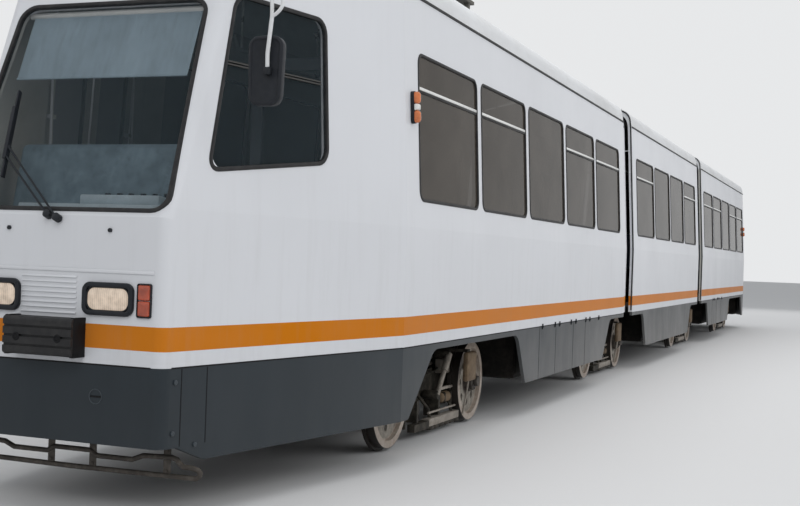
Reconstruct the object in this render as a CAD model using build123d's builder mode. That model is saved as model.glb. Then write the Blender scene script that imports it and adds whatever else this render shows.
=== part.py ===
# Articulated tram of three cars on four bogies, the second and third under the joints
# Millimetres. +X runs to the cab, +Y to its left, +Z up. Wheel flanges stand on Z = 0.
# Lengths along the tram are measured backwards from the front face, and at() turns them into X.
import math
import os

from build123d import *

os.makedirs("parts", exist_ok=True)

# Overall sizes
tram_length = 25700
half_width = 1100
wall = 50
flange = 22
wheel_radius = 340
gauge_inner = 680
tyre_width = 90

# Heights above the flange tips
sill_z = 807
floor_z = 932
floor_plate = 60
waist_z = 1622
gutter_z = 3222
crown_z = 3560
skirt_bottom_z = 312
front_skirt_z = 395
wheel_gap_z = 762
window_bottom_z = 1812
window_top_z = 2832

# Body section
lean = 0.0545
crown_half = 450
shoulder_drop = 140
shoulder_in = 28
shoulder_radius = 160
brow_radius = 500
roof_wall = 55

# Plan: places along the tram
kink_at = 2300
front_half = 690
windscreen_z = 1575
front_rake = 20.6
corner_radius = 70
window_start = 2643
window_pitch = 1433
window_width = 1232
window_ahead = 90
window_radius = 75
pillar = 355
joint_half_gap = 285
rear_kink_at = 24903
rear_half = 800
rear_rake = 12
rear_screen_z = 1650
front_brow = ((3200, 45), (3400, 70))
rear_brow = ((3240, 45), (3410, 70))
lower_faces = 2
all_faces = lower_faces + len(front_brow)
end_overshoot = 400

# Bogies
bogie_1_at = 3870
bogie_4_at = 23160
wheelbase = 1866
axle_radius = 60
running_gap = 0.1
seat_gap = 0.3
beam_y = 560
beam_width = 80
beam_height = 220
bogie_post_radius = 200
tongue_thickness = 60
tongue_half = 200
plate_radius = 230
beam_overhang = 200
beam_end = 45
bolster_half = 200
bolster_low_z = 420
bolster_height = 200
brake_half = 390
brake_y = 730
brake_width = 60
brake_low_z = 62
brake_height = 60
hanger_at = 250
hanger_width = 40
motor_size = (640, 420, 210)
motor_low_z = 205
web_in = 38
web_thickness = 20
hub_radius = 95
hub_in = 20
hub_out = 10
rim_thickness = 55
flange_width = 26
web_hole_radius = 32
web_hole_ring = 190
web_holes = 8

# Doors
leaf_thickness = 40
jamb_gap = 8
axis_in = 16
centre_gap = 28
door_top_z = 2862
tray_z = 432
tray_plate = 20
step_z = 682
tray_depth = 720
well_margin = 20
step_depth = 200
leaf_lift = 20
leaf_head_gap = 12
leaf_rail = 90
leaf_pane_low_z = 1322
leaf_pane_high_z = 2722
leaf_pane_radius = 80
leaf_arm = 60
leaf_arm_height = 25
leaf_arm_heights = (560, 1100, 1622, 2200)
door_post = 10
tray_lip = 5

# Skirts
skirt_plate = 30
bogie_gap_half = 1240
bogie_gap_slope = 290
front_gap_half = 950
front_gap_slope = 480
joint_gap_half = 1125
joint_gap_slope = 260
joint_gap_front_slope = 375
gap_corner = 190
gap_foot_corner = 60
front_skirt_reach = 125
front_skirt_slope = 210

# Articulation drum
drum_gap = 10
drum_wall = 30
passage_half = 750
passage_top_z = 2850
tongue_length = 1500
tongue_root = 400

# Cuts through walls
cut_margin = 20
cut_reach = 200

# Screens, on their raked planes, and the driver's side window, from the kink
screen_foot_half = 672
screen_top_half = 607
screen_low = 36
screen_high = 1290
screen_radius = 95
rear_screen_half = 560
rear_screen_low = 120
rear_screen_high = 1150
driver_window = [(920, 1962), (2030, 1840), (1770, 2832), (920, 2832)]
driver_window_radius = 90
front_door_from_kink = 840

# Front and rear fittings
lamp_z = 1147
lamp_corner = 25
headlamp_y = 355
headlamp_width = 310
headlamp_height = 170
headlamp_depth = 25
marker_y = 570
marker_width = 84
marker_depth = 22
tail_y = 620
tail_width = 130
buffer_half = 215
buffer_depth = 120
buffer_low_z = 843
buffer_high_z = 1040
buffer_round = 20
buffer_grooves = (0.25, 0.5, 0.75)
groove_depth = 10
groove_height = 12
wiper_pivots = ((-32, -6), (31, -23))
wiper_knee = (-407, 332)
wiper_tip_low = (-393, 203)
wiper_tip_high = (-449, 732)
wiper_boss = 22
wiper_stand = 34
wiper_rod = 10
wiper_blade = 18
mirror_at = 210
mirror_y = 1115
mirror_z = 2362
mirror_width = 190
mirror_height = 345
mirror_thickness = 60
mirror_tube = 11
mirror_bend = 90
mirror_root_at = 620
mirror_root_z = 2950
guard_at = 220
guard_half = 730
guard_low_z = 200
guard_high_z = 315
guard_tube = 34
guard_hangers = (-580, -75, 75, 580)

# Cab and saloon
fitting_gap = 5
desk_depth = 560
desk_right = -300
desk_z = 1640
partition_at = 1900
partition_plate = 30
partition_right = 120
partition_z = 2700
partition_rail = 80
partition_pane_z = 1850
driver_seat_at = 1150
driver_seat_y = 240
seat_depth = 430
seat_height = 380
cushion = 80
seat_back = 60
seat_back_height = 930
pedestal = 140
single_seat = 440
double_seat = 870
single_seat_y = 790
double_seat_y = 580

# Current collector
collector_at = 2350
insulator_height = 100
insulator_radius = 40
base_length = 1000
base_half = 350
base_bar = 60
ear_in = 150
ear_plate = 24
ear_height = 60
arm_length = 1400
arm_rest_angle = 8
lower_tube = 34
lower_shaft = 25
knee_boss = 42
knee_boss_half = 60
knee_shaft = 20
upper_y = 120
upper_tube = 18
brace_share = 0.7
eye_half = 12
eye_radius = 26
head_shaft = 12
head_half = 650
head_spread = 150
head_bar = 34
head_rise = 45
head_plate = 14

# Glass
glass_in = 7
glass_thickness = 8
glass_fit = 0.3

front_x = tram_length / 2
taper = math.degrees(math.atan2(half_width - front_half, kink_at))
rear_taper = math.degrees(math.atan2(half_width - rear_half, tram_length - rear_kink_at))
axle_z = wheel_radius + flange
car_a_windows = 5
car_b_windows = 4
car_c_windows = 5


def at(distance):
    return front_x - distance


def run_end(start, count):
    return start + (count - 1) * window_pitch + window_width


pivot_1_at = run_end(window_start, car_a_windows) + pillar + joint_half_gap
b_start = pivot_1_at + joint_half_gap + pillar
pivot_2_at = run_end(b_start, car_b_windows) + pillar + joint_half_gap
c_start = pivot_2_at + joint_half_gap + pillar
pivot_1 = at(pivot_1_at)
pivot_2 = at(pivot_2_at)
drum_radius = half_width - wall - drum_gap
floor_low_z = floor_z - floor_plate
tongue_b_low_z = floor_low_z - tongue_thickness
tongue_a_top_z = tongue_b_low_z - seat_gap
bolster_top_z = tongue_a_top_z - tongue_thickness - seat_gap


# Body section at an inset from the outer face, left half, from the height foot to the top
def half_section(inset, foot):
    side = half_width - inset
    eaves = half_width - lean * (gutter_z - waist_z) - inset
    roof = crown_z - inset * roof_wall / wall
    points = [(0, foot), (side, foot), (side, waist_z), (eaves, gutter_z)]
    points += [(eaves - shoulder_in, roof - shoulder_drop), (crown_half - inset / 2, roof), (0, roof)]
    with BuildSketch(mode=Mode.PRIVATE) as sketch:
        with BuildLine():
            Polyline(*points, close=True)
        make_face()
        shoulder = sketch.vertices().sort_by_distance((eaves - shoulder_in, roof - shoulder_drop))[0]
        fillet(shoulder, shoulder_radius)
        brow = sketch.vertices().sort_by_distance((crown_half - inset / 2, roof))[0]
        fillet(brow, brow_radius)
    return sketch.sketch


def section_on(plane, profile, mirrored):
    face = mirror(profile, about=Plane.YZ) if mirrored else profile
    return plane * face


# Solid of a car between two places, with the tapered and raked ends where it has them
def hull(front_at, rear_at, inset, foot, front_end, rear_end):
    profile = half_section(inset, foot)
    start = at(rear_kink_at) if rear_end else at(rear_at)
    stop = at(kink_at) if front_end else at(front_at)
    with BuildPart(mode=Mode.PRIVATE) as body:
        for mirrored in (False, True):
            side = 1 if not mirrored else -1
            extrude(section_on(Plane.YZ.offset(start), profile, mirrored), amount=stop - start)
            if front_end:
                run = kink_at + end_overshoot
                way = Vector(1, -side * math.tan(math.radians(taper)), 0)
                face = section_on(Plane.YZ.offset(stop), profile, mirrored)
                extrude(face, amount=run / math.cos(math.radians(taper)), dir=way)
            if rear_end:
                run = tram_length - rear_kink_at + end_overshoot
                way = Vector(-1, -side * math.tan(math.radians(rear_taper)), 0)
                face = section_on(Plane.YZ.offset(start), profile, mirrored)
                extrude(face, amount=run / math.cos(math.radians(rear_taper)), dir=way)
        add(cut_ends(body.part, inset, foot, front_end, rear_end, 0, lower_faces), mode=Mode.REPLACE)
    return body.part


# Faces of a cab end from its foot up: place, height where it starts, and how far it leans back
def end_faces(rake, screen_z, brow, foot):
    faces = [(front_x, foot, 0), (front_x, screen_z, rake)]
    for height, lean_back in brow:
        x, start, angle = faces[-1]
        faces.append((x - (height - start) * math.tan(math.radians(angle)), height, lean_back))
    return faces


# Trim a car body by some of the faces of its cab ends
def cut_ends(body, inset, foot, front_end, rear_end, first, last):
    ends = []
    if front_end:
        ends.append((1, end_faces(front_rake, windscreen_z, front_brow, foot)))
    if rear_end:
        ends.append((-1, end_faces(rear_rake, rear_screen_z, rear_brow, foot)))
    with BuildPart(mode=Mode.PRIVATE) as trimmed:
        add(body)
        for way, faces in ends:
            for x, height, lean_back in faces[first:last]:
                spot = (way * (x - inset), 0, height)
                plane = Plane(origin=spot, x_dir=(0, way, 0), z_dir=rake_normal(lean_back, way))
                split(bisect_by=plane, keep=Keep.BOTTOM)
    return trimmed.part


def rake_normal(angle, way):
    turn = math.radians(angle)
    return (way * math.cos(turn), 0, math.sin(turn))


# Round the upright corners of a cab end
def rounded(body, x, radius):
    corners = [e for e in body.edges() if is_corner(e, x)]
    return fillet(corners, radius)


def is_corner(edge, x):
    span = edge.bounding_box()
    high = span.max.Z - span.min.Z > front_half
    near = abs(edge.center().X - x) < front_half
    return high and near and abs(edge.center().Y) > crown_half


# Flat plane just outside a straight side, sketching along X and Z, drawn inwards
def side_plane(side):
    y = half_width + cut_margin if side > 0 else cut_reach - half_width - cut_margin
    return Plane(origin=(0, y, 0), x_dir=(1, 0, 0), z_dir=(0, -1, 0))


# The same plane on the left tapered wall, with its X counted forwards from the kink
def taper_plane():
    turn = math.radians(taper)
    out = Vector(math.sin(turn), math.cos(turn), 0) * cut_margin
    spot = Vector(at(kink_at), half_width, 0) + out
    along = (math.cos(turn), -math.sin(turn), 0)
    return Plane(origin=spot, x_dir=along, z_dir=(-math.sin(turn), -math.cos(turn), 0))


# Window prisms through one straight side, which reach ahead of their modules, smaller by a fit
def window_prisms(places, side, fit=0.0):
    height = window_top_z - window_bottom_z
    middle = (window_top_z + window_bottom_z) / 2
    with BuildPart(mode=Mode.PRIVATE) as tool:
        with BuildSketch(side_plane(side)):
            with Locations(*[(place + window_ahead / 2, middle) for place in places]):
                width = window_width + window_ahead
                RectangleRounded(width - 2 * fit, height - 2 * fit, window_radius - fit)
        extrude(amount=cut_reach)
    return tool.part


def doorway_prisms(places, side, foot):
    with BuildPart(mode=Mode.PRIVATE) as tool:
        with BuildSketch(side_plane(side)):
            with Locations(*[(place, (foot + door_top_z) / 2) for place in places]):
                Rectangle(window_width, door_top_z - foot)
        extrude(amount=cut_reach)
    return tool.part


def driver_prism(fit=0.0):
    with BuildPart(mode=Mode.PRIVATE) as tool:
        with BuildSketch(taper_plane()) as sketch:
            with BuildLine():
                Polyline(*driver_window, close=True)
            make_face()
            fillet(sketch.vertices(), driver_window_radius)
            if fit:
                offset(amount=-fit, mode=Mode.REPLACE)
        extrude(amount=cut_reach)
    return tool.part


def front_door_prism(foot):
    with BuildPart(mode=Mode.PRIVATE) as tool:
        with BuildSketch(taper_plane()):
            with Locations((front_door_from_kink, (foot + door_top_z) / 2)):
                Rectangle(window_width, door_top_z - foot)
        extrude(amount=cut_reach)
    return mirror(tool.part, about=Plane.XZ)


# Windscreen or rear window prism, drawn on its own raked plane
def screen_prism(way, rake, foot_z, outline, radius, fit=0.0):
    turn = math.radians(rake)
    normal = rake_normal(rake, way)
    up = Vector(-way * math.sin(turn), 0, math.cos(turn))
    spot = Vector(way * front_x, 0, foot_z) + Vector(*normal) * cut_margin
    plane = Plane(origin=spot, x_dir=(0, way, 0), z_dir=normal)
    with BuildPart(mode=Mode.PRIVATE) as tool:
        with BuildSketch(plane) as sketch:
            with BuildLine():
                Polyline(*outline, close=True)
            make_face()
            fillet(sketch.vertices(), radius)
            if fit:
                offset(amount=-fit, mode=Mode.REPLACE)
        extrude(amount=-cut_reach)
    return tool.part


def write(piece, name):
    piece.label = name
    export_step(piece, "parts/" + name + ".step")


def slab(low, high):
    size = [high[i] - low[i] for i in range(3)]
    middle = [(high[i] + low[i]) / 2 for i in range(3)]
    return Pos(*middle) * Box(*size, mode=Mode.PRIVATE)


def module_middle(first, module):
    return at(first + module * window_pitch + window_width / 2)


b_front = pivot_1_at + joint_half_gap
b_rear = pivot_2_at - joint_half_gap
cars = (
    # name, front, rear, first window, windows, door modules, front end, rear end
    ("a", 0, pivot_1_at - joint_half_gap, window_start, car_a_windows, (2,), True, False),
    ("b", b_front, b_rear, b_start, car_b_windows, (1, 2), False, False),
    ("c", pivot_2_at + joint_half_gap, tram_length, c_start, car_c_windows, (1,), False, True),
)

windscreen = [(-screen_foot_half, screen_low), (screen_foot_half, screen_low)]
windscreen += [(screen_top_half, screen_high), (-screen_top_half, screen_high)]
rear_screen = [(-rear_screen_half, rear_screen_low), (rear_screen_half, rear_screen_low)]
rear_screen += [(rear_screen_half, rear_screen_high), (-rear_screen_half, rear_screen_high)]

# Body shells: walls and roof part at the gutter, cab ends part at the kinks
for name, front, rear, first, count, doors, front_end, rear_end in cars:
    outer = hull(front, rear, 0, sill_z, front_end, rear_end)
    if front_end:
        outer = rounded(outer, front_x, corner_radius)
    if rear_end:
        outer = rounded(outer, -front_x, corner_radius)
    inner = hull(front - 1, rear + 1, wall, sill_z - 1, front_end, rear_end)
    outer = cut_ends(outer, 0, sill_z, front_end, rear_end, lower_faces, all_faces)
    inner = cut_ends(inner, wall, sill_z - 1, front_end, rear_end, lower_faces, all_faces)
    lefts = [module_middle(first, i) for i in range(count)]
    rights = [module_middle(first, i) for i in range(count) if i not in doors]
    doorways = [module_middle(first, i) for i in doors]

    with BuildPart() as shell:
        add(outer)
        add(inner, mode=Mode.SUBTRACT)
        add(window_prisms(lefts, 1), mode=Mode.SUBTRACT)
        add(window_prisms(rights, -1), mode=Mode.SUBTRACT)
        add(doorway_prisms(doorways, -1, sill_z - 10), mode=Mode.SUBTRACT)
        if front_end:
            add(driver_prism(), mode=Mode.SUBTRACT)
            add(front_door_prism(sill_z - 10), mode=Mode.SUBTRACT)
            add(screen_prism(1, front_rake, windscreen_z, windscreen, screen_radius), mode=Mode.SUBTRACT)
        if rear_end:
            add(screen_prism(-1, rear_rake, rear_screen_z, rear_screen, screen_radius), mode=Mode.SUBTRACT)

    with BuildPart() as roof:
        add(shell.part)
        split(bisect_by=Plane.XY.offset(gutter_z), keep=Keep.TOP)
    write(roof.part, name + "_roof")

    with BuildPart() as walls:
        add(shell.part)
        split(bisect_by=Plane.XY.offset(gutter_z), keep=Keep.BOTTOM)

    kink = at(kink_at) if front_end else at(rear_kink_at)
    with BuildPart() as sides:
        add(walls.part)
        if front_end:
            split(bisect_by=Plane.YZ.offset(kink), keep=Keep.BOTTOM)
        if rear_end:
            split(bisect_by=Plane.YZ.offset(kink), keep=Keep.TOP)
    write(sides.part, name + "_sides")

    if front_end or rear_end:
        with BuildPart() as cab:
            add(walls.part)
            split(bisect_by=Plane.YZ.offset(kink), keep=Keep.TOP if front_end else Keep.BOTTOM)
        write(cab.part, "cab_shell" if front_end else "rear_shell")

    # Panes follow the wall and sit a fit inside their openings
    with BuildPart() as panes:
        add(hull(front, rear, glass_in, sill_z, front_end, rear_end))
        behind = glass_in + glass_thickness
        add(hull(front - 1, rear + 1, behind, sill_z - 1, front_end, rear_end), mode=Mode.SUBTRACT)
        with BuildPart(mode=Mode.PRIVATE) as outlines:
            add(window_prisms(lefts, 1, glass_fit))
            add(window_prisms(rights, -1, glass_fit))
            if front_end:
                add(driver_prism(glass_fit))
                add(screen_prism(1, front_rake, windscreen_z, windscreen, screen_radius, glass_fit))
            if rear_end:
                add(screen_prism(-1, rear_rake, rear_screen_z, rear_screen, screen_radius, glass_fit))
        add(outlines.part, mode=Mode.INTERSECT)
    write(panes.part, name + "_glass")


# Right-hand doorways, each with a frame on the outer wall, X forwards and Y inwards
def taper_frame():
    turn = math.radians(taper)
    x = at(kink_at) + front_door_from_kink * math.cos(turn)
    y = -half_width + front_door_from_kink * math.sin(turn)
    return Location((x, y, 0), (0, 0, taper))


doorways = [("a", taper_frame(), math.cos(math.radians(taper)))]
for name, front, rear, first, count, doors, front_end, rear_end in cars:
    for module in doors:
        doorways.append((name, Location((module_middle(first, module), -half_width, 0)), 1.0))


def stepwell_cut():
    reach = tray_depth + tray_plate + step_depth + tray_plate
    half = window_width / 2 + well_margin + tray_plate
    return slab((-half, -half_width / 2, tray_z - tray_plate), (half, reach, floor_z + 1))


def stepwell():
    half = window_width / 2 + well_margin
    step_start = tray_depth + tray_plate
    step_end = step_start + step_depth
    low = tray_z - tray_plate
    with BuildPart(mode=Mode.PRIVATE) as well:
        add(slab((-half, wall, low), (half, step_start, tray_z)))
        add(slab((-window_width / 2, tray_lip, low), (window_width / 2, wall, tray_z)))
        add(slab((-half, tray_depth, tray_z), (half, step_start, step_z)))
        add(slab((-half, tray_depth, step_z - tray_plate), (half, step_end, step_z)))
        add(slab((-half, step_end, step_z - tray_plate), (half, step_end + tray_plate, floor_z)))
        for side in (-1, 1):
            ends = sorted((side * half, side * (half + tray_plate)))
            add(slab((ends[0], wall, low), (ends[1], step_start, floor_z)))
            add(slab((ends[0], step_start, step_z - tray_plate), (ends[1], step_end + tray_plate, floor_z)))
    return well.part


# Floors, with the stepwells, the plates over the end bogies and the tongues of the joints
for name, front, rear, first, count, doors, front_end, rear_end in cars:
    joints = [p for p, near in ((pivot_1, name != "c"), (pivot_2, name != "a")) if near]
    with BuildPart() as floor:
        add(hull(front, rear, wall, sill_z, front_end, rear_end))
        high = (tram_length, half_width, floor_z)
        add(slab((-tram_length, -half_width, floor_low_z), high), mode=Mode.INTERSECT)
        for pivot in joints:
            with BuildSketch(Plane.XY.offset(floor_low_z)):
                with Locations((pivot, 0)):
                    Circle(drum_radius + drum_gap)
            extrude(amount=floor_plate, mode=Mode.SUBTRACT)
        for car, frame, squash in doorways:
            if car == name:
                add(frame * stepwell_cut(), mode=Mode.SUBTRACT)
        for car, frame, squash in doorways:
            if car == name:
                add(frame * stepwell())
        for pivot in joints:
            way = 1 if (name == "a" or (name == "b" and pivot == pivot_2)) else -1
            high = floor_low_z if name == "b" else tongue_a_top_z
            low = high - tongue_thickness
            with BuildSketch(Plane.XY.offset(low)):
                with Locations((pivot, 0)):
                    Circle(plate_radius)
                with Locations((pivot + way * tongue_length / 2, 0)):
                    Rectangle(tongue_length, 2 * tongue_half)
            extrude(amount=high - low)
            if name != "b":
                root = pivot + way * (tongue_length - tongue_root / 2)
                with BuildSketch(Plane.XY.offset(high)):
                    with Locations((root, 0)):
                        Rectangle(tongue_root, 2 * tongue_half)
                extrude(amount=floor_low_z - high)
        if name != "b":
            place = at(bogie_1_at) if name == "a" else at(bogie_4_at)
            with BuildSketch(Plane.XY.offset(bolster_top_z + seat_gap)):
                with Locations((place, 0)):
                    Circle(plate_radius)
            extrude(amount=floor_low_z - bolster_top_z - seat_gap)
    write(floor.part, name + "_floor")


# Skirts below the sill follow the plan of each car and are open over the bogies
def plan_outline(front, rear, front_end, rear_end, inset):
    side = half_width - inset
    slant = math.tan(math.radians(taper))
    lean_in = inset / math.cos(math.radians(taper))
    points = [(at(front), side)]
    if front_end:
        points = [(front_x - inset, front_half - lean_in + inset * slant), (at(kink_at), side)]
    if rear_end:
        points += [(at(rear_kink_at), side), (inset - front_x, rear_half - inset)]
    else:
        points += [(at(rear), side)]
    return points + [(x, -y) for x, y in reversed(points)]


skirt_gaps = (
    # middle, reach at the top and slope out to the bottom: of the rear end, then of the front end
    (at(bogie_1_at), bogie_gap_half, bogie_gap_slope, front_gap_half, front_gap_slope),
    (pivot_1, joint_gap_half, joint_gap_slope, joint_gap_half, joint_gap_front_slope),
    (pivot_2, joint_gap_half, joint_gap_slope, joint_gap_half, joint_gap_slope),
    (at(bogie_4_at), bogie_gap_half, bogie_gap_slope, bogie_gap_half, bogie_gap_slope),
)
with BuildPart() as gap_tool:
    with BuildSketch(Plane.XZ) as outline:
        for middle, rear_half_top, rear_slope, front_half_top, front_slope in skirt_gaps:
            rear_foot = middle - rear_half_top - rear_slope
            front_foot = middle + front_half_top + front_slope
            with BuildLine():
                points = [(rear_foot - 2 * gap_foot_corner, skirt_bottom_z - 1)]
                points += [(rear_foot - 2 * gap_foot_corner, skirt_bottom_z), (rear_foot, skirt_bottom_z)]
                points += [(middle - rear_half_top, wheel_gap_z), (middle + front_half_top, wheel_gap_z)]
                points += [(front_foot, skirt_bottom_z), (front_foot + 2 * gap_foot_corner, skirt_bottom_z)]
                points += [(front_foot + 2 * gap_foot_corner, skirt_bottom_z - 1)]
                Polyline(*points, close=True)
            make_face()
        tops = [v for v in outline.vertices() if abs(v.Y - wheel_gap_z) < 1]
        fillet(tops, gap_corner)
        ends = [p for m, rt, rs, ft, fs in skirt_gaps for p in (m - rt - rs, m + ft + fs)]
        feet = [v for v in outline.vertices() if abs(v.Y - skirt_bottom_z) < 0.5]
        fillet([v for v in feet if min(abs(v.X - x) for x in ends) < 1], gap_foot_corner)
    extrude(amount=2 * half_width, both=True)

for name, front, rear, first, count, doors, front_end, rear_end in cars:
    with BuildPart() as skirts:
        with BuildSketch(Plane.XY.offset(skirt_bottom_z)):
            with BuildLine():
                Polyline(*plan_outline(front, rear, front_end, rear_end, 0), close=True)
            make_face()
        extrude(amount=sill_z - skirt_bottom_z)
        if front_end or rear_end:
            end = front_x if front_end else -front_x
            upright = [e for e in skirts.edges().filter_by(Axis.Z) if abs(e.center().X - end) < 1]
            fillet(upright, corner_radius)
        with BuildSketch(Plane.XY.offset(skirt_bottom_z)):
            with BuildLine():
                Polyline(*plan_outline(front - 1, rear + 1, front_end, rear_end, skirt_plate), close=True)
            make_face()
        extrude(amount=sill_z - skirt_bottom_z, mode=Mode.SUBTRACT)
        add(gap_tool.part, mode=Mode.SUBTRACT)
        if front_end:
            head = front_x - front_skirt_reach
            foot = head - front_skirt_slope
            step = [(foot, skirt_bottom_z - 1), (front_x + 1, skirt_bottom_z - 1)]
            step += [(front_x + 1, front_skirt_z), (head, front_skirt_z), (foot, skirt_bottom_z)]
            with BuildSketch(Plane.XZ):
                with BuildLine():
                    Polyline(*step, close=True)
                make_face()
            extrude(amount=2 * half_width, both=True, mode=Mode.SUBTRACT)
        for car, frame, squash in doorways:
            if car == name:
                high = (window_width / 2, half_width / 2, sill_z + 1)
                low = (-window_width / 2, -half_width / 4, tray_z - tray_plate)
                add(frame * slab(low, high), mode=Mode.SUBTRACT)
    write(skirts.part, name + "_skirts")

# Drums of the two joints: a domed shell of revolution with a passage and a floor
for name, pivot in (("gangway_front", pivot_1), ("gangway_rear", pivot_2)):
    spin = Axis((pivot, 0, 0), (0, 0, 1))
    plane = Plane(origin=(pivot, 0, 0), x_dir=(1, 0, 0), z_dir=(0, -1, 0))
    with BuildPart() as drum:
        with BuildSketch(plane):
            add(half_section(wall + drum_gap, sill_z))
            add(half_section(wall + drum_gap + drum_wall, sill_z - 1), mode=Mode.SUBTRACT)
        revolve(axis=spin)
        low = (pivot - half_width, -passage_half, sill_z - 1)
        add(slab(low, (pivot + half_width, passage_half, passage_top_z)), mode=Mode.SUBTRACT)
        with BuildSketch(Plane.XY.offset(floor_low_z)):
            with Locations((pivot, 0)):
                Circle(drum_radius)
        extrude(amount=floor_plate)
    write(drum.part, name)

# Bogies: inside frame with bored axle beams, bolster, magnetic track brakes, motor on the end pair
bogies = (
    # name, place, motor
    ("bogie_1", at(bogie_1_at), True),
    ("bogie_2", pivot_1, False),
    ("bogie_3", pivot_2, False),
    ("bogie_4", at(bogie_4_at), True),
)
for name, place, motor in bogies:
    beam_half = wheelbase / 2 + beam_overhang
    beam_low = axle_z - beam_height / 2
    beam_out = beam_y + beam_width / 2
    with BuildPart() as frame:
        for side in (-1, 1):
            inner, outer = sorted((side * (beam_y - beam_width / 2), side * beam_out))
            low = (place - beam_half, inner, beam_low)
            add(slab(low, (place + beam_half, outer, beam_low + beam_height)))
            near, far = sorted((side * (brake_y - brake_width / 2), side * (brake_y + brake_width / 2)))
            low = (place - brake_half, near, brake_low_z)
            add(slab(low, (place + brake_half, far, brake_low_z + brake_height)))
            near, far = sorted((side * beam_out, side * brake_y))
            for spot in (-hanger_at, hanger_at):
                low = (place + spot - hanger_width / 2, near, brake_low_z + brake_height)
                add(slab(low, (place + spot + hanger_width / 2, far, beam_low + hanger_width)))
        low = (place - bolster_half, -beam_out, bolster_low_z)
        add(slab(low, (place + bolster_half, beam_out, bolster_low_z + bolster_height)))
        for way in (-1, 1):
            near, far = sorted((way * (beam_half - beam_end), way * beam_half))
            add(slab((place + near, -beam_out, axle_z), (place + far, beam_out, axle_z + beam_height / 2)))
        with BuildSketch(Plane.XY.offset(bolster_low_z + bolster_height)):
            with Locations((place, 0)):
                Circle(bogie_post_radius)
        extrude(amount=bolster_top_z - bolster_low_z - bolster_height)
        if motor:
            length, width, height = motor_size
            low = (place - length / 2, -width / 2, bolster_low_z - height)
            add(slab(low, (place + length / 2, width / 2, bolster_low_z)))
        with BuildSketch(Plane.XZ.offset(-2 * beam_out)):
            with Locations((place - wheelbase / 2, axle_z), (place + wheelbase / 2, axle_z)):
                Circle(axle_radius + running_gap)
        extrude(amount=4 * beam_out, mode=Mode.SUBTRACT)
    write(frame.part, name)

# Wheelsets: axle, webs, hubs and flanged tyres turned as one, with round holes in the webs
tyre_out = gauge_inner + tyre_width
hub_near = gauge_inner - hub_in
hub_far = tyre_out + hub_out
web_near = gauge_inner + web_in
web_far = web_near + web_thickness
rim_radius = wheel_radius - rim_thickness
half_profile = [
    (hub_near, axle_radius), (hub_near, hub_radius), (web_near, hub_radius), (web_near, rim_radius),
    (gauge_inner, rim_radius), (gauge_inner, axle_z), (gauge_inner + flange_width, axle_z),
    (gauge_inner + flange_width, wheel_radius), (tyre_out, wheel_radius), (tyre_out, rim_radius),
    (web_far, rim_radius), (web_far, hub_radius), (hub_far, hub_radius), (hub_far, 0),
]
number = 0
for bogie, place, motor in bogies:
    for way in (1, -1):
        number += 1
        x = place + way * wheelbase / 2
        plane = Plane(origin=(x, 0, axle_z), x_dir=(0, 1, 0), z_dir=(1, 0, 0))
        with BuildPart() as wheelset:
            with BuildSketch(plane):
                with BuildLine():
                    Polyline(*half_profile, *[(-y, r) for y, r in reversed(half_profile)], close=True)
                make_face()
            revolve(axis=Axis((x, 0, axle_z), (0, 1, 0)))
            with BuildSketch(Plane(origin=(x, 0, axle_z), x_dir=(1, 0, 0), z_dir=(0, 1, 0))):
                with PolarLocations(web_hole_ring, web_holes):
                    Circle(web_hole_radius)
            extrude(amount=hub_far, both=True, mode=Mode.SUBTRACT)
        write(wheelset.part, "wheelset_" + str(number))

def leaf_section(near, far, low, top, slope):
    points = [(near, low), (near, waist_z), (near + slope * (top - waist_z), top)]
    points += [(far + slope * (top - waist_z), top), (far, waist_z), (far, low)]
    return points


# Door leaves, in pairs that fold inwards on posts at the jambs
for index, (car, frame, squash) in enumerate(doorways, start=1):
    slope = lean * squash
    leaf_low = tray_z + leaf_lift
    leaf_top = door_top_z - leaf_head_gap
    post_in = slope * (door_top_z - waist_z) + leaf_thickness
    for hand, way in (("front", 1), ("rear", -1)):
        jamb = way * window_width / 2
        start, stop = sorted((jamb - way * jamb_gap, way * centre_gap / 2))
        pane_plane = Plane(origin=(0, -half_width / 4, 0), x_dir=(-1, 0, 0), z_dir=(0, 1, 0))
        pane_x = (start + stop) / 2
        pane_z = (leaf_pane_low_z + leaf_pane_high_z) / 2
        pane_width = stop - start - 2 * leaf_rail
        pane_height = leaf_pane_high_z - leaf_pane_low_z
        with BuildPart() as leaf:
            with BuildSketch(Plane.YZ.offset(start)):
                with BuildLine():
                    Polyline(*leaf_section(0, leaf_thickness, leaf_low, leaf_top, slope), close=True)
                make_face()
            extrude(amount=stop - start)
            with BuildSketch(pane_plane):
                with Locations((-pane_x, pane_z)):
                    RectangleRounded(pane_width, pane_height, leaf_pane_radius)
            extrude(amount=half_width, mode=Mode.SUBTRACT)
            post_x = jamb - way * axis_in
            with BuildSketch(Plane.XY.offset(tray_z + seat_gap)):
                with Locations((post_x, post_in)):
                    Circle(door_post)
            extrude(amount=door_top_z - tray_z - 2 * seat_gap)
            for height in leaf_arm_heights:
                ends = sorted((post_x, post_x - way * leaf_arm))
                face = leaf_thickness - 2 + slope * max(0, height - waist_z)
                add(slab((ends[0], face, height), (ends[1], post_in, height + leaf_arm_height)))
        with BuildPart() as pane:
            with BuildSketch(Plane.YZ.offset(start)):
                with BuildLine():
                    glass_out = glass_in + glass_thickness
                    Polyline(*leaf_section(glass_in, glass_out, leaf_low, leaf_top, slope), close=True)
                make_face()
            extrude(amount=stop - start)
            with BuildSketch(pane_plane):
                with Locations((-pane_x, pane_z)):
                    size = (pane_width - 2 * glass_fit, pane_height - 2 * glass_fit)
                    RectangleRounded(*size, leaf_pane_radius - glass_fit)
            extrude(amount=half_width, mode=Mode.INTERSECT)
        both = Compound(children=[frame * leaf.part, frame * pane.part])
        write(both, "door_" + str(index) + "_" + hand)

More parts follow.
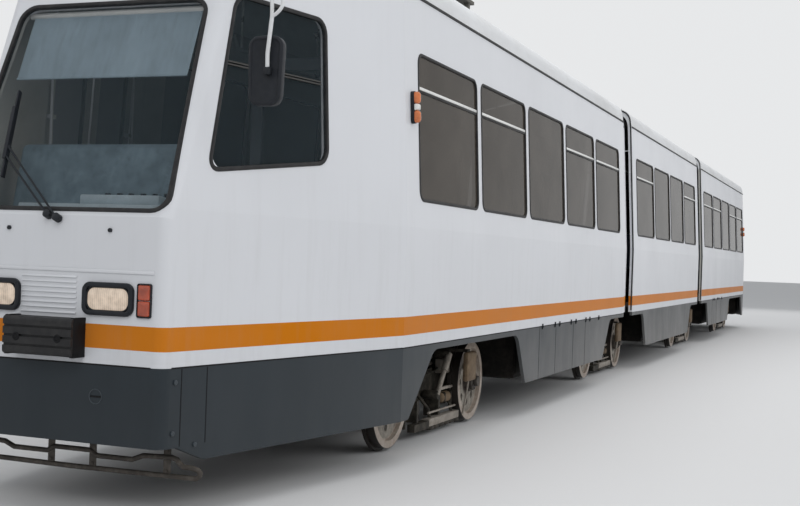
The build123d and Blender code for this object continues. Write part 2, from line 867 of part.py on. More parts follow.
# Front: headlamps in flat surrounds, marker lamps beside them, buffer block with grooves
with BuildPart() as lamps:
    for side in (-1, 1):
        for middle, width, height, depth in ((headlamp_y, headlamp_width, headlamp_height, headlamp_depth),
                                             (marker_y, marker_width, headlamp_height, marker_depth)):
            with BuildSketch(Plane.YZ.offset(front_x)):
                with Locations((side * middle, lamp_z)):
                    RectangleRounded(width, height, lamp_corner)
            extrude(amount=depth)
write(lamps.part, "front_lamps")

with BuildPart() as tails:
    for side in (-1, 1):
        with BuildSketch(Plane.YZ.offset(-front_x)):
            with Locations((side * tail_y, lamp_z)):
                RectangleRounded(tail_width, headlamp_height, lamp_corner)
        extrude(amount=-headlamp_depth)
write(tails.part, "tail_lamps")

for name, way in (("front_buffer", 1), ("rear_buffer", -1)):
    near, far = sorted((way * front_x, way * (front_x + buffer_depth)))
    face = way * (front_x + buffer_depth)
    with BuildPart() as block:
        add(slab((near, -buffer_half, buffer_low_z), (far, buffer_half, buffer_high_z)))
        outer_edges = [e for e in block.edges().filter_by(Axis.Y) if abs(e.center().X - face) < 1]
        fillet(outer_edges, buffer_round)
        for place in buffer_grooves:
            z = buffer_low_z + place * (buffer_high_z - buffer_low_z)
            low, high = sorted((face, face - way * groove_depth))
            top = (high, buffer_half, z + groove_height / 2)
            add(slab((low, -buffer_half, z - groove_height / 2), top), mode=Mode.SUBTRACT)
    write(block.part, name)


# Points on the raked windscreen, from its foot, at a height off the glass wall
def on_screen(y, up, out):
    turn = math.radians(front_rake)
    x = front_x - up * math.sin(turn) + out * math.cos(turn)
    return (x, y, windscreen_z + up * math.cos(turn) + out * math.sin(turn))


def screen_bar(start, stop, width, depth, out):
    low = Vector(*on_screen(*start, out))
    high = Vector(*on_screen(*stop, out))
    plane = Plane(origin=low, x_dir=rake_normal(front_rake, 1), z_dir=high - low)
    with BuildPart(mode=Mode.PRIVATE) as bar:
        with BuildSketch(plane):
            Rectangle(depth, width)
        extrude(amount=(high - low).length)
    return bar.part


with BuildPart() as wiper:
    for y, up in wiper_pivots:
        foot = on_screen(y, up, 0)
        with BuildSketch(Plane(origin=foot, x_dir=(0, 1, 0), z_dir=rake_normal(front_rake, 1))):
            Circle(wiper_boss)
        extrude(amount=wiper_stand + wiper_rod / 2)
        add(screen_bar((y, up), wiper_knee, wiper_rod, wiper_rod, wiper_stand))
    add(screen_bar(wiper_tip_low, wiper_tip_high, wiper_blade, wiper_rod, wiper_stand))
write(wiper.part, "wiper")

# Mirrors on bent tube arms that end on the upper cab walls
cab_solid = hull(0, pivot_1_at, 0, sill_z, True, False)
with BuildPart() as mirrors:
    head_x = at(mirror_at)
    root_y = half_width - (kink_at - mirror_root_at) * math.tan(math.radians(taper))
    root_y -= lean * (mirror_root_z - waist_z) + wall / 2
    arm_x = head_x + mirror_thickness / 2
    route = [(arm_x, mirror_y, mirror_z), (arm_x, mirror_y, mirror_root_z)]
    route += [(at(mirror_root_at), root_y, mirror_root_z)]
    with BuildLine() as path:
        FilletPolyline(*route, radius=mirror_bend)
    with BuildSketch(Plane(origin=route[0], z_dir=(0, 0, 1))):
        Circle(mirror_tube)
    sweep(path=path.line)
    low = (head_x - mirror_thickness / 2, mirror_y - mirror_width / 2, mirror_z - mirror_height / 2)
    high = (head_x + mirror_thickness / 2, mirror_y + mirror_width / 2, mirror_z + mirror_height / 2)
    add(slab(low, high))
    add(cab_solid, mode=Mode.SUBTRACT)
    mirror(about=Plane.XZ)
write(mirrors.part, "mirrors")

# Lifeguard: a flat tube loop under the front skirt on two pairs of hangers
with BuildPart() as guard:
    x = at(guard_at)
    middle = (guard_low_z + guard_high_z) / 2
    height = guard_high_z - guard_low_z
    with BuildSketch(Plane.YZ.offset(x - guard_tube / 2)):
        with Locations((0, middle)):
            RectangleRounded(2 * guard_half, height, height / 2 - 1)
            inner = (2 * guard_half - 2 * guard_tube, height - 2 * guard_tube)
            RectangleRounded(*inner, inner[1] / 2 - 1, mode=Mode.SUBTRACT)
    extrude(amount=guard_tube)
    for y in guard_hangers:
        low = (x - guard_tube / 2, y - guard_tube / 2, guard_high_z - guard_tube)
        add(slab(low, (x + guard_tube / 2, y + guard_tube / 2, floor_low_z)))
write(guard.part, "lifeguard")

# Cab: desk under the windscreen, partition behind the driver, seat on a pedestal
cab_inner = hull(0, pivot_1_at, wall + fitting_gap, sill_z, True, False)
with BuildPart() as desk:
    add(cab_inner)
    low = (at(desk_depth), desk_right, floor_z)
    add(slab(low, (front_x, half_width, desk_z)), mode=Mode.INTERSECT)
write(desk.part, "driver_desk")

with BuildPart() as partition:
    add(cab_inner)
    low = (at(partition_at), partition_right, floor_z)
    add(slab(low, (at(partition_at) + partition_plate, half_width, partition_z)), mode=Mode.INTERSECT)
    low = (at(partition_at) - 1, partition_right + partition_rail, partition_pane_z)
    pane_out = half_width - 3 * partition_rail
    high = (at(partition_at) + partition_plate + 1, pane_out, partition_z - partition_rail)
    add(slab(low, high), mode=Mode.SUBTRACT)
write(partition.part, "cab_partition")


def seat(x, y, width):
    with BuildPart(mode=Mode.PRIVATE) as place:
        low = (x - seat_depth / 2, y - width / 2, floor_z + seat_height)
        add(slab(low, (x + seat_depth / 2, y + width / 2, floor_z + seat_height + cushion)))
        low = (x - seat_depth / 2, y - width / 2, floor_z + seat_height)
        add(slab(low, (x - seat_depth / 2 + seat_back, y + width / 2, floor_z + seat_back_height)))
        low = (x - pedestal / 2, y - pedestal / 2, floor_z)
        add(slab(low, (x + pedestal / 2, y + pedestal / 2, floor_z + seat_height)))
    return place.part


with BuildPart() as driver_seat:
    add(seat(at(driver_seat_at), driver_seat_y, single_seat))
write(driver_seat.part, "driver_seat")

for name, front, rear, first, count, doors, front_end, rear_end in cars:
    rows = []
    for module in range(count):
        for half in (-1, 1):
            x = module_middle(first, module) + half * window_pitch / 4
            if min(abs(x - pivot_1), abs(x - pivot_2)) > half_width + seat_depth:
                rows.append((x, double_seat_y, double_seat))
                if module not in doors:
                    rows.append((x, -single_seat_y, single_seat))
    with BuildPart() as seats:
        for x, y, width in rows:
            add(seat(x, y, width))
    write(seats.part, name + "_seats")

# Current collector on the cab roof, folded: base on insulators, lower arm, upper arm, head
base_x = at(collector_at)
base_low = crown_z + insulator_height
pivot_z = base_low + base_bar + ear_height
turn = math.radians(arm_rest_angle)
knee = (base_x - arm_length * math.cos(turn), pivot_z + arm_length * math.sin(turn))
head_pivot = (base_x, pivot_z + 2 * arm_length * math.sin(turn))


def cross_bar(x, z, reach, radius):
    with BuildPart(mode=Mode.PRIVATE) as bar:
        with BuildSketch(Plane(origin=(x, -reach, z), x_dir=(1, 0, 0), z_dir=(0, 1, 0))):
            Circle(radius)
        extrude(amount=2 * reach)
    return bar.part


def arm_bar(start, stop, y, radius):
    low = Vector(start[0], y, start[1])
    high = Vector(stop[0], y, stop[1])
    with BuildPart(mode=Mode.PRIVATE) as bar:
        with BuildSketch(Plane(origin=low, x_dir=(0, 1, 0), z_dir=high - low)):
            Circle(radius)
        extrude(amount=(high - low).length)
    return bar.part


with BuildPart() as base:
    for side in (-1, 1):
        near, far = sorted((side * (base_half - base_bar), side * base_half))
        add(slab((base_x - base_length, near, base_low), (base_x + base_bar, far, base_low + base_bar)))
        near, far = sorted((side * ear_in, side * (ear_in + ear_plate)))
        add(slab((base_x - base_bar, near, base_low), (base_x + base_bar, far, pivot_z + ear_height / 2)))
        for x in (base_x - base_length + base_bar, base_x - base_bar):
            with BuildSketch(Plane.XY.offset(crown_z)):
                with Locations((x, side * (base_half - base_bar / 2))):
                    Circle(insulator_radius)
            extrude(amount=insulator_height)
    for x in (base_x - base_length, base_x - base_bar):
        add(slab((x, -base_half, base_low), (x + 2 * base_bar, base_half, base_low + base_bar)))
    add(cross_bar(base_x, pivot_z, 2 * ear_in, lower_shaft + running_gap), mode=Mode.SUBTRACT)
write(base.part, "collector_base")

with BuildPart() as lower:
    add(arm_bar((base_x, pivot_z), knee, 0, lower_tube))
    add(cross_bar(base_x, pivot_z, ear_in + ear_plate, lower_shaft))
    add(cross_bar(*knee, knee_boss_half, knee_boss))
    add(cross_bar(*knee, 2 * upper_y, knee_shaft + running_gap), mode=Mode.SUBTRACT)
write(lower.part, "collector_lower_arm")

with BuildPart() as upper:
    for side in (-1, 1):
        add(arm_bar(knee, head_pivot, side * upper_y, upper_tube))
    add(cross_bar(*knee, upper_y, knee_shaft))
    brace = [knee[i] + (head_pivot[i] - knee[i]) * brace_share for i in (0, 1)]
    add(cross_bar(*brace, upper_y, upper_tube / 2))
    for side in (-1, 1):
        middle = (head_pivot[0], side * upper_y - eye_half, head_pivot[1])
        with BuildSketch(Plane(origin=middle, z_dir=(0, 1, 0))):
            Circle(eye_radius)
        extrude(amount=2 * eye_half)
    add(cross_bar(*head_pivot, 2 * upper_y, head_shaft + running_gap), mode=Mode.SUBTRACT)
write(upper.part, "collector_upper_arm")

with BuildPart() as head:
    add(cross_bar(*head_pivot, upper_y + 2 * eye_half, head_shaft))
    for x in (-head_spread, head_spread - head_bar):
        low = (base_x + x, -head_half, head_pivot[1] + head_rise)
        add(slab(low, (base_x + x + head_bar, head_half, head_pivot[1] + head_rise + head_bar)))
    for side in (-1, 1):
        outer = side * (upper_y + 2 * eye_half)
        near, far = sorted((outer, outer + side * head_plate))
        low = (base_x - head_spread, near, head_pivot[1] - head_shaft)
        add(slab(low, (base_x + head_spread, far, head_pivot[1] + head_rise)))
write(head.part, "collector_head")
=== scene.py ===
import math

import bpy
from mathutils import Matrix, Vector


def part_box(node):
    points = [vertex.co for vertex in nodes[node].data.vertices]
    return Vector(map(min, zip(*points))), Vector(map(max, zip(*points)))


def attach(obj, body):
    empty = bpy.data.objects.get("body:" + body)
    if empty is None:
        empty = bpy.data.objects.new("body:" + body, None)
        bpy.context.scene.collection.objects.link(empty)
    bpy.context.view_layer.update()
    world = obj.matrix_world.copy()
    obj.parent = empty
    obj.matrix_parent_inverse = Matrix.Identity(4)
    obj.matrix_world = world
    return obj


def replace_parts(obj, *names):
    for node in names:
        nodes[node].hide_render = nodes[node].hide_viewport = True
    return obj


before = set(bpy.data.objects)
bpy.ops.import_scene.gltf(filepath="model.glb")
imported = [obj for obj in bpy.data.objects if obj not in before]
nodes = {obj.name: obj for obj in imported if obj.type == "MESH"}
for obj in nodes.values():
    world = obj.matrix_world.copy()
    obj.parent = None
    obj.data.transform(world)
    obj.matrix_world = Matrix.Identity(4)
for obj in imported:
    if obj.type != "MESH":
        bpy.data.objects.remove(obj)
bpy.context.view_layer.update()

# Studio: a pale floor, a plain pale sky and soft lamps above and beside the tram. The camera stands
# low beside the track ahead of the cab and looks back along the left side.
yaw, pitch, roll = 0.3743, 0.0034, 0.0352
forward = Vector((-math.cos(yaw) * math.cos(pitch), -math.sin(yaw) * math.cos(pitch), math.sin(pitch)))
level = Vector((-math.sin(yaw), math.cos(yaw), 0))
upward = level.cross(forward)
image_right = level * math.cos(roll) + upward * math.sin(roll)
image_up = upward * math.cos(roll) - level * math.sin(roll)
bpy.ops.object.camera_add(location=(18.092, 4.0154, 1.416))
camera = bpy.context.object
camera.rotation_euler = Matrix((image_right, image_up, -forward)).transposed().to_euler()
camera.data.sensor_width = 36
camera.data.lens = 54.28
camera.data.clip_end = 400
bpy.context.scene.camera = camera
bpy.context.scene.view_settings.view_transform = "Standard"


# Inputs by name, or by number as _0. A socket is linked, and anything else is the input's own value
def plug(tree, node, inputs):
    for key, value in inputs.items():
        socket = node.inputs[int(key[1:])] if key[1:].isdigit() else node.inputs[key.replace("_", " ")]
        if isinstance(value, bpy.types.NodeSocket):
            tree.links.new(value, socket)
        else:
            socket.default_value = value
    return node


def shade_node(tree, kind, **inputs):
    return plug(tree, tree.nodes.new("ShaderNode" + kind), inputs)


def lay_skin(tree, **inputs):
    plug(tree, tree.nodes["Principled BSDF"], inputs)


def sums(tree, operation, first, second=0.0, third=0.0):
    made = shade_node(tree, "Math", _0=first, _1=second, _2=third)
    made.operation = operation
    return made.outputs[0]


world = bpy.data.worlds.new("sky")
bpy.context.scene.world = world
world.use_nodes = True
sky = world.node_tree
rays = shade_node(sky, "LightPath").outputs
seen = sums(sky, "MAXIMUM", rays["Is Camera Ray"], rays["Is Transmission Ray"])
seen = sums(sky, "MAXIMUM", seen, rays["Is Glossy Ray"])
light = plug(sky, sky.nodes["Background"], {"Color": (0.93, 0.96, 1.0, 1), "Strength": 0.52})
backdrop = shade_node(sky, "Background", Color=(0.80, 0.81, 0.82, 1), Strength=1.0)
shown = shade_node(sky, "MixShader", _0=seen, _1=light.outputs[0], _2=backdrop.outputs[0])
sky.links.new(shown.outputs[0], sky.nodes["World Output"].inputs["Surface"])

bpy.ops.mesh.primitive_plane_add(size=260, location=(0, 0, 0))
floor = bpy.context.object
floor.name = "studio_floor"
floor_skin = bpy.data.materials.new("studio_floor")
floor_skin.use_nodes = True
lay_skin(floor_skin.node_tree, Base_Color=(0.62, 0.62, 0.62, 1), Roughness=0.85)
floor.data.materials.append(floor_skin)

for name, place, target, width, length, power in (
        ("overhead", (2, 1, 13), (2, 0, 0), 30, 12, 1350),
        ("left_side", (4, 16, 9), (2, 0, 1.5), 26, 8, 1150),
        ("cab_front", (24, 5, 9), (12, 0, 1.5), 10, 8, 640),
        ("right_side", (0, -17, 9), (0, 0, 1.5), 26, 8, 900),
        ("rear_end", (-25, 0, 8), (-12, 0, 1.5), 10, 8, 380)):
    bpy.ops.object.light_add(type="AREA", location=place)
    lamp = bpy.context.object
    lamp.name = name
    lamp.data.shape = "RECTANGLE"
    lamp.data.size, lamp.data.size_y, lamp.data.energy = width, length, power
    lamp.visible_glossy = False
    lamp.rotation_euler = (Vector(target) - Vector(place)).to_track_quat("-Z", "Y").to_euler()


# Car bodies: welded steel panels, painted white all round with an orange stripe over a white band
# at the foot. The paint is satin, a little uneven and greyed by road dirt. Inside is pale lining.
def tone(colour, factor=1.0):
    return (colour[0] * factor, colour[1] * factor, colour[2] * factor, 1)


def blend_colour(tree, share, *colours):
    mix = tree.nodes.new("ShaderNodeMix")
    mix.data_type = "RGBA"
    first, second = (tone(colour) if isinstance(colour, tuple) else colour for colour in colours)
    return plug(tree, mix, {"_0": share, "_6": first, "_7": second}).outputs[2]


def graded(tree, value, low, high, to_low=0.0, to_high=1.0):
    return shade_node(tree, "MapRange", Value=value, From_Min=low, From_Max=high, To_Min=to_low,
                      To_Max=to_high).outputs[0]


def noise(tree, spot, scale, detail, roughness=0.5):
    return shade_node(tree, "TexNoise", Vector=spot, Scale=scale, Detail=detail,
                      Roughness=roughness).outputs["Fac"]


def part_of(tree, vector, axis):
    return shade_node(tree, "SeparateXYZ", Vector=vector).outputs[axis]


def relief_of(tree, height, distance, strength, **under):
    return shade_node(tree, "Bump", Height=height, Distance=distance, Strength=strength, **under).outputs[0]


# A new material, its nodes and its Object coordinates
def new_material(name):
    made = bpy.data.materials.new(name)
    made.use_nodes = True
    return made, made.node_tree, shade_node(made.node_tree, "TexCoord").outputs["Object"]


# The output that feeds an input of the skin
def fed_by(tree, name):
    return tree.nodes["Principled BSDF"].inputs[name].links[0].from_socket


# A coat of one colour, clouded by soft patches, with soil gathered in some of them and a fine relief
def coat(name, colour, roughness, metallic=0.0, cloud=0.08, patch=1.6, relief=0.0003, grain=260.0,
         soil=(0.12, 0.10, 0.08), soiled=0.0, stretch=(1, 1, 1), specular=0.5):
    made, tree, spot = new_material(name)
    laid = shade_node(tree, "Mapping", Vector=spot, Scale=stretch).outputs[0]
    patches = noise(tree, laid, patch, 6.0, 0.6)
    even = graded(tree, patches, 0.3, 0.7)
    tint = blend_colour(tree, even, tone(colour, 1 - cloud), tone(colour, 1 + cloud))
    if soiled:
        share = graded(tree, noise(tree, laid, patch * 3.1, 9.0, 0.7), 0.45, 0.75, 0.0, soiled)
        tint = blend_colour(tree, share, tint, soil)
    fine = noise(tree, spot, grain, 3.0)
    lay_skin(tree, Base_Color=tint, Metallic=metallic, Specular_IOR_Level=specular,
             Roughness=graded(tree, patches, 0.3, 0.7, roughness - 0.06, roughness + 0.08),
             Normal=relief_of(tree, fine, relief, 0.5))
    return made


def repaint(piece, material):
    piece.data.materials.clear()
    piece.data.materials.append(material)


white = (0.62, 0.63, 0.655)
orange = (0.52, 0.160, 0.002)
lining = (0.42, 0.42, 0.39)
stripe_low, stripe_high = 0.881, 1.013
body_span = 4.0


# Share that is 1 where a face of a car is seen from inside it
def seen_inside(tree):
    coords = shade_node(tree, "TexCoord").outputs
    normal, place = coords["Normal"], coords["Object"]
    endways, sideways = (sums(tree, "MULTIPLY", part_of(tree, normal, axis), part_of(tree, place, axis))
                         for axis in "XY")
    return sums(tree, "LESS_THAN", sums(tree, "MULTIPLY_ADD", endways, 0.12, sideways), -0.05)


# The livery, with the stripe laid by height. cap adds more bands above it as (height, colour)
def livery_coat(name, dirt, cap=()):
    made, tree, spot = new_material(name)
    height = part_of(tree, spot, "Z")
    bands = shade_node(tree, "ValToRGB", Fac=sums(tree, "DIVIDE", height, body_span))
    ramp = bands.color_ramp
    ramp.interpolation = "CONSTANT"
    ramp.elements[0].color = tone(white, 0.96)
    ramp.elements.remove(ramp.elements[1])
    for foot, colour in ((stripe_low, orange), (stripe_high, white)) + cap:
        ramp.elements.new(foot / body_span).color = tone(colour)
    cloud = noise(tree, spot, 0.9, 5.0, 0.55)
    greyed = graded(tree, cloud, 0.35, 0.7, 0.0, 0.07)
    paint = blend_colour(tree, greyed, bands.outputs["Color"], (0.36, 0.36, 0.36))
    streaks = shade_node(tree, "Mapping", Vector=spot, Scale=(9, 9, 0.8)).outputs[0]
    runs = graded(tree, noise(tree, streaks, 1.3, 7.0, 0.65), 0.5, 0.85, 0.0, dirt)
    share = sums(tree, "MULTIPLY", runs, graded(tree, height, 0.8, 2.0, 1.0, 0.25))
    paint = blend_colour(tree, share, paint, (0.24, 0.22, 0.19))
    in_stripe = sums(tree, "MULTIPLY", sums(tree, "GREATER_THAN", height, stripe_low),
                     sums(tree, "LESS_THAN", height, stripe_high))
    waves = relief_of(tree, noise(tree, spot, 1.1, 2.0), 0.006, 0.35)
    lay_skin(tree, Base_Color=blend_colour(tree, seen_inside(tree), paint, lining),
             Roughness=graded(tree, cloud, 0.3, 0.7, 0.30, 0.42),
             Specular_IOR_Level=sums(tree, "MULTIPLY_ADD", in_stripe, -0.17, 0.22),
             Normal=relief_of(tree, noise(tree, spot, 420.0, 2.0), 0.0002, 0.3, Normal=waves))
    return made


livery = livery_coat("body_paint", 0.16)
for name in ("cab_shell", "rear_shell", "a_sides", "b_sides", "c_sides"):
    repaint(nodes[name], livery)
roof_paint = coat("roof_paint", (0.60, 0.61, 0.62), 0.45, cloud=0.10, patch=0.7, soil=(0.25, 0.23, 0.20),
                  soiled=0.30, stretch=(0.5, 2.0, 1.0))
for car in "abc":
    repaint(nodes[car + "_roof"], roof_paint)


# Windows: toughened panes held flush in the wall by a black rubber profile with rounded corners.
# Most have a bright aluminium transom under a hopper light. The glass is tinted grey brown.
# Flat grey painted on panes seen from inside: painted daylight in place of the view through the glass
painted_daylight_grey = (0.30, 0.31, 0.32)
saloon_tint, cab_tint, cab_from = (0.052, 0.043, 0.034), (0.045, 0.062, 0.072), 10.9
cover, cab_clearer = 0.83, 0.62


# Tinted glass, clearer in the cab. From inside the saloon a pane is opaque and painted a flat grey that
# stands in for the dimmed daylight through it
def glass_coat(name, with_cab=False):
    made, tree, spot = new_material(name)
    film = noise(tree, spot, 2.2, 6.0, 0.6)
    thick = graded(tree, film, 0.35, 0.75)
    colour = blend_colour(tree, thick, tone(saloon_tint), tone(saloon_tint, 1.35))
    density = graded(tree, film, 0.35, 0.75, cover - 0.04, cover + 0.04)
    from_inside = seen_inside(tree)
    if with_cab:
        in_cab = sums(tree, "GREATER_THAN", part_of(tree, spot, "X"), cab_from)
        colour = blend_colour(tree, in_cab, colour, cab_tint)
        density = sums(tree, "SUBTRACT", density, sums(tree, "MULTIPLY", in_cab, cab_clearer))
        from_inside = sums(tree, "MULTIPLY", from_inside, sums(tree, "SUBTRACT", 1.0, in_cab))
    lay_skin(tree, Base_Color=blend_colour(tree, from_inside, colour, painted_daylight_grey),
             Alpha=sums(tree, "MAXIMUM", density, from_inside), Specular_IOR_Level=0.08,
             Roughness=graded(tree, film, 0.3, 0.7, 0.03, 0.07))
    return made


tinted = glass_coat("tinted_glass")
for name in ("b_glass", "c_glass"):
    repaint(nodes[name], tinted)
repaint(nodes["a_glass"], glass_coat("front_car_glass", with_cab=True))

rubber = coat("black_rubber", (0.014, 0.014, 0.015), 0.55, cloud=0.2, patch=6, soil=(0.09, 0.085, 0.08),
              soiled=0.25, relief=0.0004, specular=0.3)
bright = coat("bright_aluminium", (0.72, 0.72, 0.70), 0.33, metallic=0.35, cloud=0.05, patch=5,
              stretch=(0.4, 4, 4))

front_x = 12.85
half_width, waist, lean = 1.1, 1.622, 0.0545
taper_long = 2.3
taper = math.atan2(0.41, taper_long)
kink_x = front_x - taper_long
front_rake, front_foot = math.radians(20.6), 1.575
rear_rake, rear_foot = math.radians(12), 1.65


# Place of a distance in millimetres behind the front
def at(distance):
    return front_x - distance / 1000


# Matrix at a place with local X along the surface, Y up it and Z outwards
def lay_on(place, up, out):
    out = Vector(out).normalized()
    along = Vector(up).cross(out).normalized()
    turned = Matrix((along, out.cross(along), out)).transposed().to_4x4()
    turned.translation = Vector(place)
    return turned


def wall_y(z):
    return half_width - lean * max(0.0, z - waist)


def wall_place(x, z, side, stand_off=0.0):
    slope = lean if z > waist else 0.0
    out = Vector((0, side, slope)).normalized()
    return lay_on(Vector((x, side * wall_y(z), z)) + out * stand_off, (0, -side * slope, 1), out)


# The same on the walls that taper in towards the front, with along measured from the kink
def taper_place(along, z, side):
    run = Vector((math.cos(taper), -side * math.sin(taper), 0))
    climb = Vector((0, -side * (lean if z > waist else 0.0), 1))
    return lay_on(Vector((kink_x, side * wall_y(z), z)) + run * along, climb, run.cross(climb) * -side)


def screen_place(y, up, way=1, stand_off=0.0):
    rake, foot = (front_rake, front_foot) if way > 0 else (rear_rake, rear_foot)
    climb = Vector((-way * math.sin(rake), 0, math.cos(rake)))
    out = Vector((way * math.cos(rake), 0, math.sin(rake)))
    return lay_on(Vector((way * front_x, y, foot)) + climb * up + out * stand_off, climb, out)


def alone(piece):
    bpy.ops.object.select_all(action="DESELECT")
    piece.select_set(True)
    bpy.context.view_layer.objects.active = piece


def place_by(piece, matrix):
    alone(piece)
    piece.matrix_world = matrix @ piece.matrix_world
    bpy.ops.object.transform_apply(location=True, rotation=True, scale=True)
    return piece


def moved(x, y, z):
    return Matrix.Translation((x, y, z))


def copy_of(piece, matrix):
    made = piece.copy()
    made.data = piece.data.copy()
    bpy.context.scene.collection.objects.link(made)
    return place_by(made, matrix)


def drop(*pieces):
    for piece in pieces:
        bpy.data.objects.remove(piece)


def soften(piece, width, segments=2, angle=40):
    alone(piece)
    made = piece.modifiers.new("edges", "BEVEL")
    made.width = width
    made.segments = segments
    made.limit_method = "ANGLE"
    made.angle_limit = math.radians(angle)
    made.use_clamp_overlap = True
    bpy.ops.object.modifier_apply(modifier="edges")
    return piece


def join(name, parts):
    alone(parts[0])
    for part in parts:
        part.select_set(True)
    if len(parts) > 1:
        bpy.ops.object.join()
    parts[0].name = name
    bpy.ops.object.transform_apply(location=True, rotation=True, scale=True)
    return parts[0]


# One piece from its parts. edge is the width and the segments of its softened edges
def finish(name, parts, material, body, smooth=35, edge=None):
    piece = join(name, parts)
    if edge:
        soften(piece, *edge)
    repaint(piece, material)
    bpy.ops.object.shade_smooth_by_angle(angle=math.radians(smooth))
    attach(piece, body)
    return piece


def box_corners(width, height):
    across, up = width / 2, height / 2
    return [(-across, -up), (across, -up), (across, up), (-across, up)]


# Flat face of four corners with rounded corners, in the XY plane
def rounded_face(corners, radius, steps=6):
    bpy.ops.mesh.primitive_plane_add(size=1)
    face = bpy.context.object
    for index, corner in zip((0, 1, 3, 2), corners):
        face.data.vertices[index].co = (*corner, 0)
    bpy.ops.object.mode_set(mode="EDIT")
    bpy.ops.mesh.select_all(action="SELECT")
    bpy.ops.mesh.bevel(offset=radius, segments=steps, affect="VERTICES")
    bpy.ops.object.mode_set(mode="OBJECT")
    return face


# Flat face raised to a closed shell, with its top inset in steps of thickness and depth
def raised(face, rise, *insets):
    alone(face)
    bpy.ops.object.mode_set(mode="EDIT")
    bpy.ops.mesh.select_all(action="SELECT")
    bpy.ops.mesh.extrude_region_move(TRANSFORM_OT_translate={"value": (0, 0, rise)})
    for thickness, depth in insets:
        bpy.ops.mesh.inset(thickness=thickness, depth=depth)
    bpy.ops.mesh.select_all(action="SELECT")
    bpy.ops.mesh.normals_make_consistent(inside=False)
    bpy.ops.object.mode_set(mode="OBJECT")
    return face


# Rubber ring round an opening: half of its width laps the wall and half the glass
def gasket(corners, radius, width, proud=0.009, sunk=0.02):
    ring = rounded_face(corners, radius)
    bpy.ops.object.mode_set(mode="EDIT")
    bpy.ops.mesh.select_all(action="SELECT")
    bpy.ops.mesh.inset(thickness=width, depth=0)
    bpy.ops.mesh.delete(type="FACE")
    bpy.ops.object.mode_set(mode="OBJECT")
    raised(ring, proud)
    for vertex in ring.data.vertices:
        if vertex.co.z < proud / 2:
            vertex.co.z = -sunk
    return soften(ring, 0.006)


def grown(corners, by):
    middle_x, middle_y = (sum(values) / 4 for values in zip(*corners))
    return [(x + math.copysign(by, x - middle_x), y + math.copysign(by, y - middle_y)) for x, y in corners]


# Block between two opposite corners
def plank(one, other, edge=0.0, segments=2):
    size = [abs(b - a) for a, b in zip(one, other)]
    middle = [(a + b) / 2 for a, b in zip(one, other)]
    bpy.ops.mesh.primitive_cube_add(size=1, location=middle, scale=size)
    bpy.ops.object.transform_apply(location=True, rotation=True, scale=True)
    return soften(bpy.context.object, edge, segments) if edge else bpy.context.object


window_pitch, window_width, window_ahead = 1433, 1.232, 0.090
window_low, window_high, window_round = 1.812, 2.832, 0.075
window_tall, window_middle = window_high - window_low, (window_low + window_high) / 2
lap, shown_rubber, transom_drop = 0.009, 0.022, 0.240
first_windows = {"a": 2643, "b": 10887, "c": 17698}
window_counts = {"a": 5, "b": 4, "c": 5}
door_modules = {"a": (2,), "b": (1, 2), "c": (1,)}
plain_modules = {"a": (2,), "b": (1, 2), "c": (2,)}


def module_x(car, module):
    return at(first_windows[car] + module * window_pitch + window_width * 500)


pane_width = window_width + window_ahead
side_ring = gasket(box_corners(pane_width + 2 * lap, window_tall + 2 * lap), window_round + lap,
                   shown_rubber, 0.006)
bar_half, bar_high = pane_width / 2 - 0.012, window_tall / 2 - transom_drop
side_bar = plank((-bar_half, bar_high - 0.011, -0.012), (bar_half, bar_high + 0.011, 0.003), 0.004)
seal = plank((-bar_half, bar_high - 0.030, -0.012), (bar_half, bar_high - 0.011, 0.001), 0.003)
for car in "abc":
    rings, bars, seals = [], [], []
    for module in range(window_counts[car]):
        for side in (1, -1):
            if side < 0 and module in door_modules[car]:
                continue
            spot = wall_place(module_x(car, module) + window_ahead / 2, window_middle, side)
            rings.append(copy_of(side_ring, spot))
            if module not in plain_modules[car]:
                bars.append(copy_of(side_bar, spot))
                seals.append(copy_of(seal, spot))
    finish(car + "_window_rubbers", rings + seals, rubber, "car_" + car)
    finish(car + "_transoms", bars, bright, "car_" + car)
drop(side_ring, side_bar, seal)

# Driver's window, windscreen and rear window: larger panes in the same black rubber profile. The
# driver's window has a thin dark rail across it, and an amber lamp stands on the wall behind it.
driver_outline = ((2.030, 1.840), (0.920, 1.962), (0.920, 2.832), (1.770, 2.832))
driver_along, driver_z = (sum(values) / 4 for values in zip(*driver_outline))
driver_spot = taper_place(driver_along, driver_z, 1)
driver_corners = [(driver_along - along, z - driver_z) for along, z in driver_outline]
driver_ring = place_by(gasket(grown(driver_corners, lap), 0.1, shown_rubber + 0.004, 0.007), driver_spot)
rail_z = 2.442 - driver_z
driver_rail = [place_by(plank((-0.46, low, -0.012), (0.43, low + 0.008, 0.002)), driver_spot)
               for low in (rail_z - 0.012, rail_z + 0.004)]
foot_half, top_half, screen_low, screen_high = 0.672, 0.607, 0.036, 1.290
reach_up = (screen_high - screen_low) / 2
screen_corners = [(-foot_half, -reach_up), (foot_half, -reach_up), (top_half, reach_up),
                  (-top_half, reach_up)]
screen_ring = place_by(gasket(grown(screen_corners, 0.014), 0.105, 0.024),
                       screen_place(0, (screen_low + screen_high) / 2))
rear_ring = place_by(gasket(box_corners(1.14, 1.05), 0.105, 0.032), screen_place(0, 0.635, -1))
finish("driver_window_rail", driver_rail, coat("dark_rail", (0.060, 0.058, 0.055), 0.5, 0.3, specular=0.2),
       "car_a")
finish("cab_rubbers", [driver_ring, screen_ring], rubber, "car_a")
finish("rear_rubber", [rear_ring], rubber, "car_c")
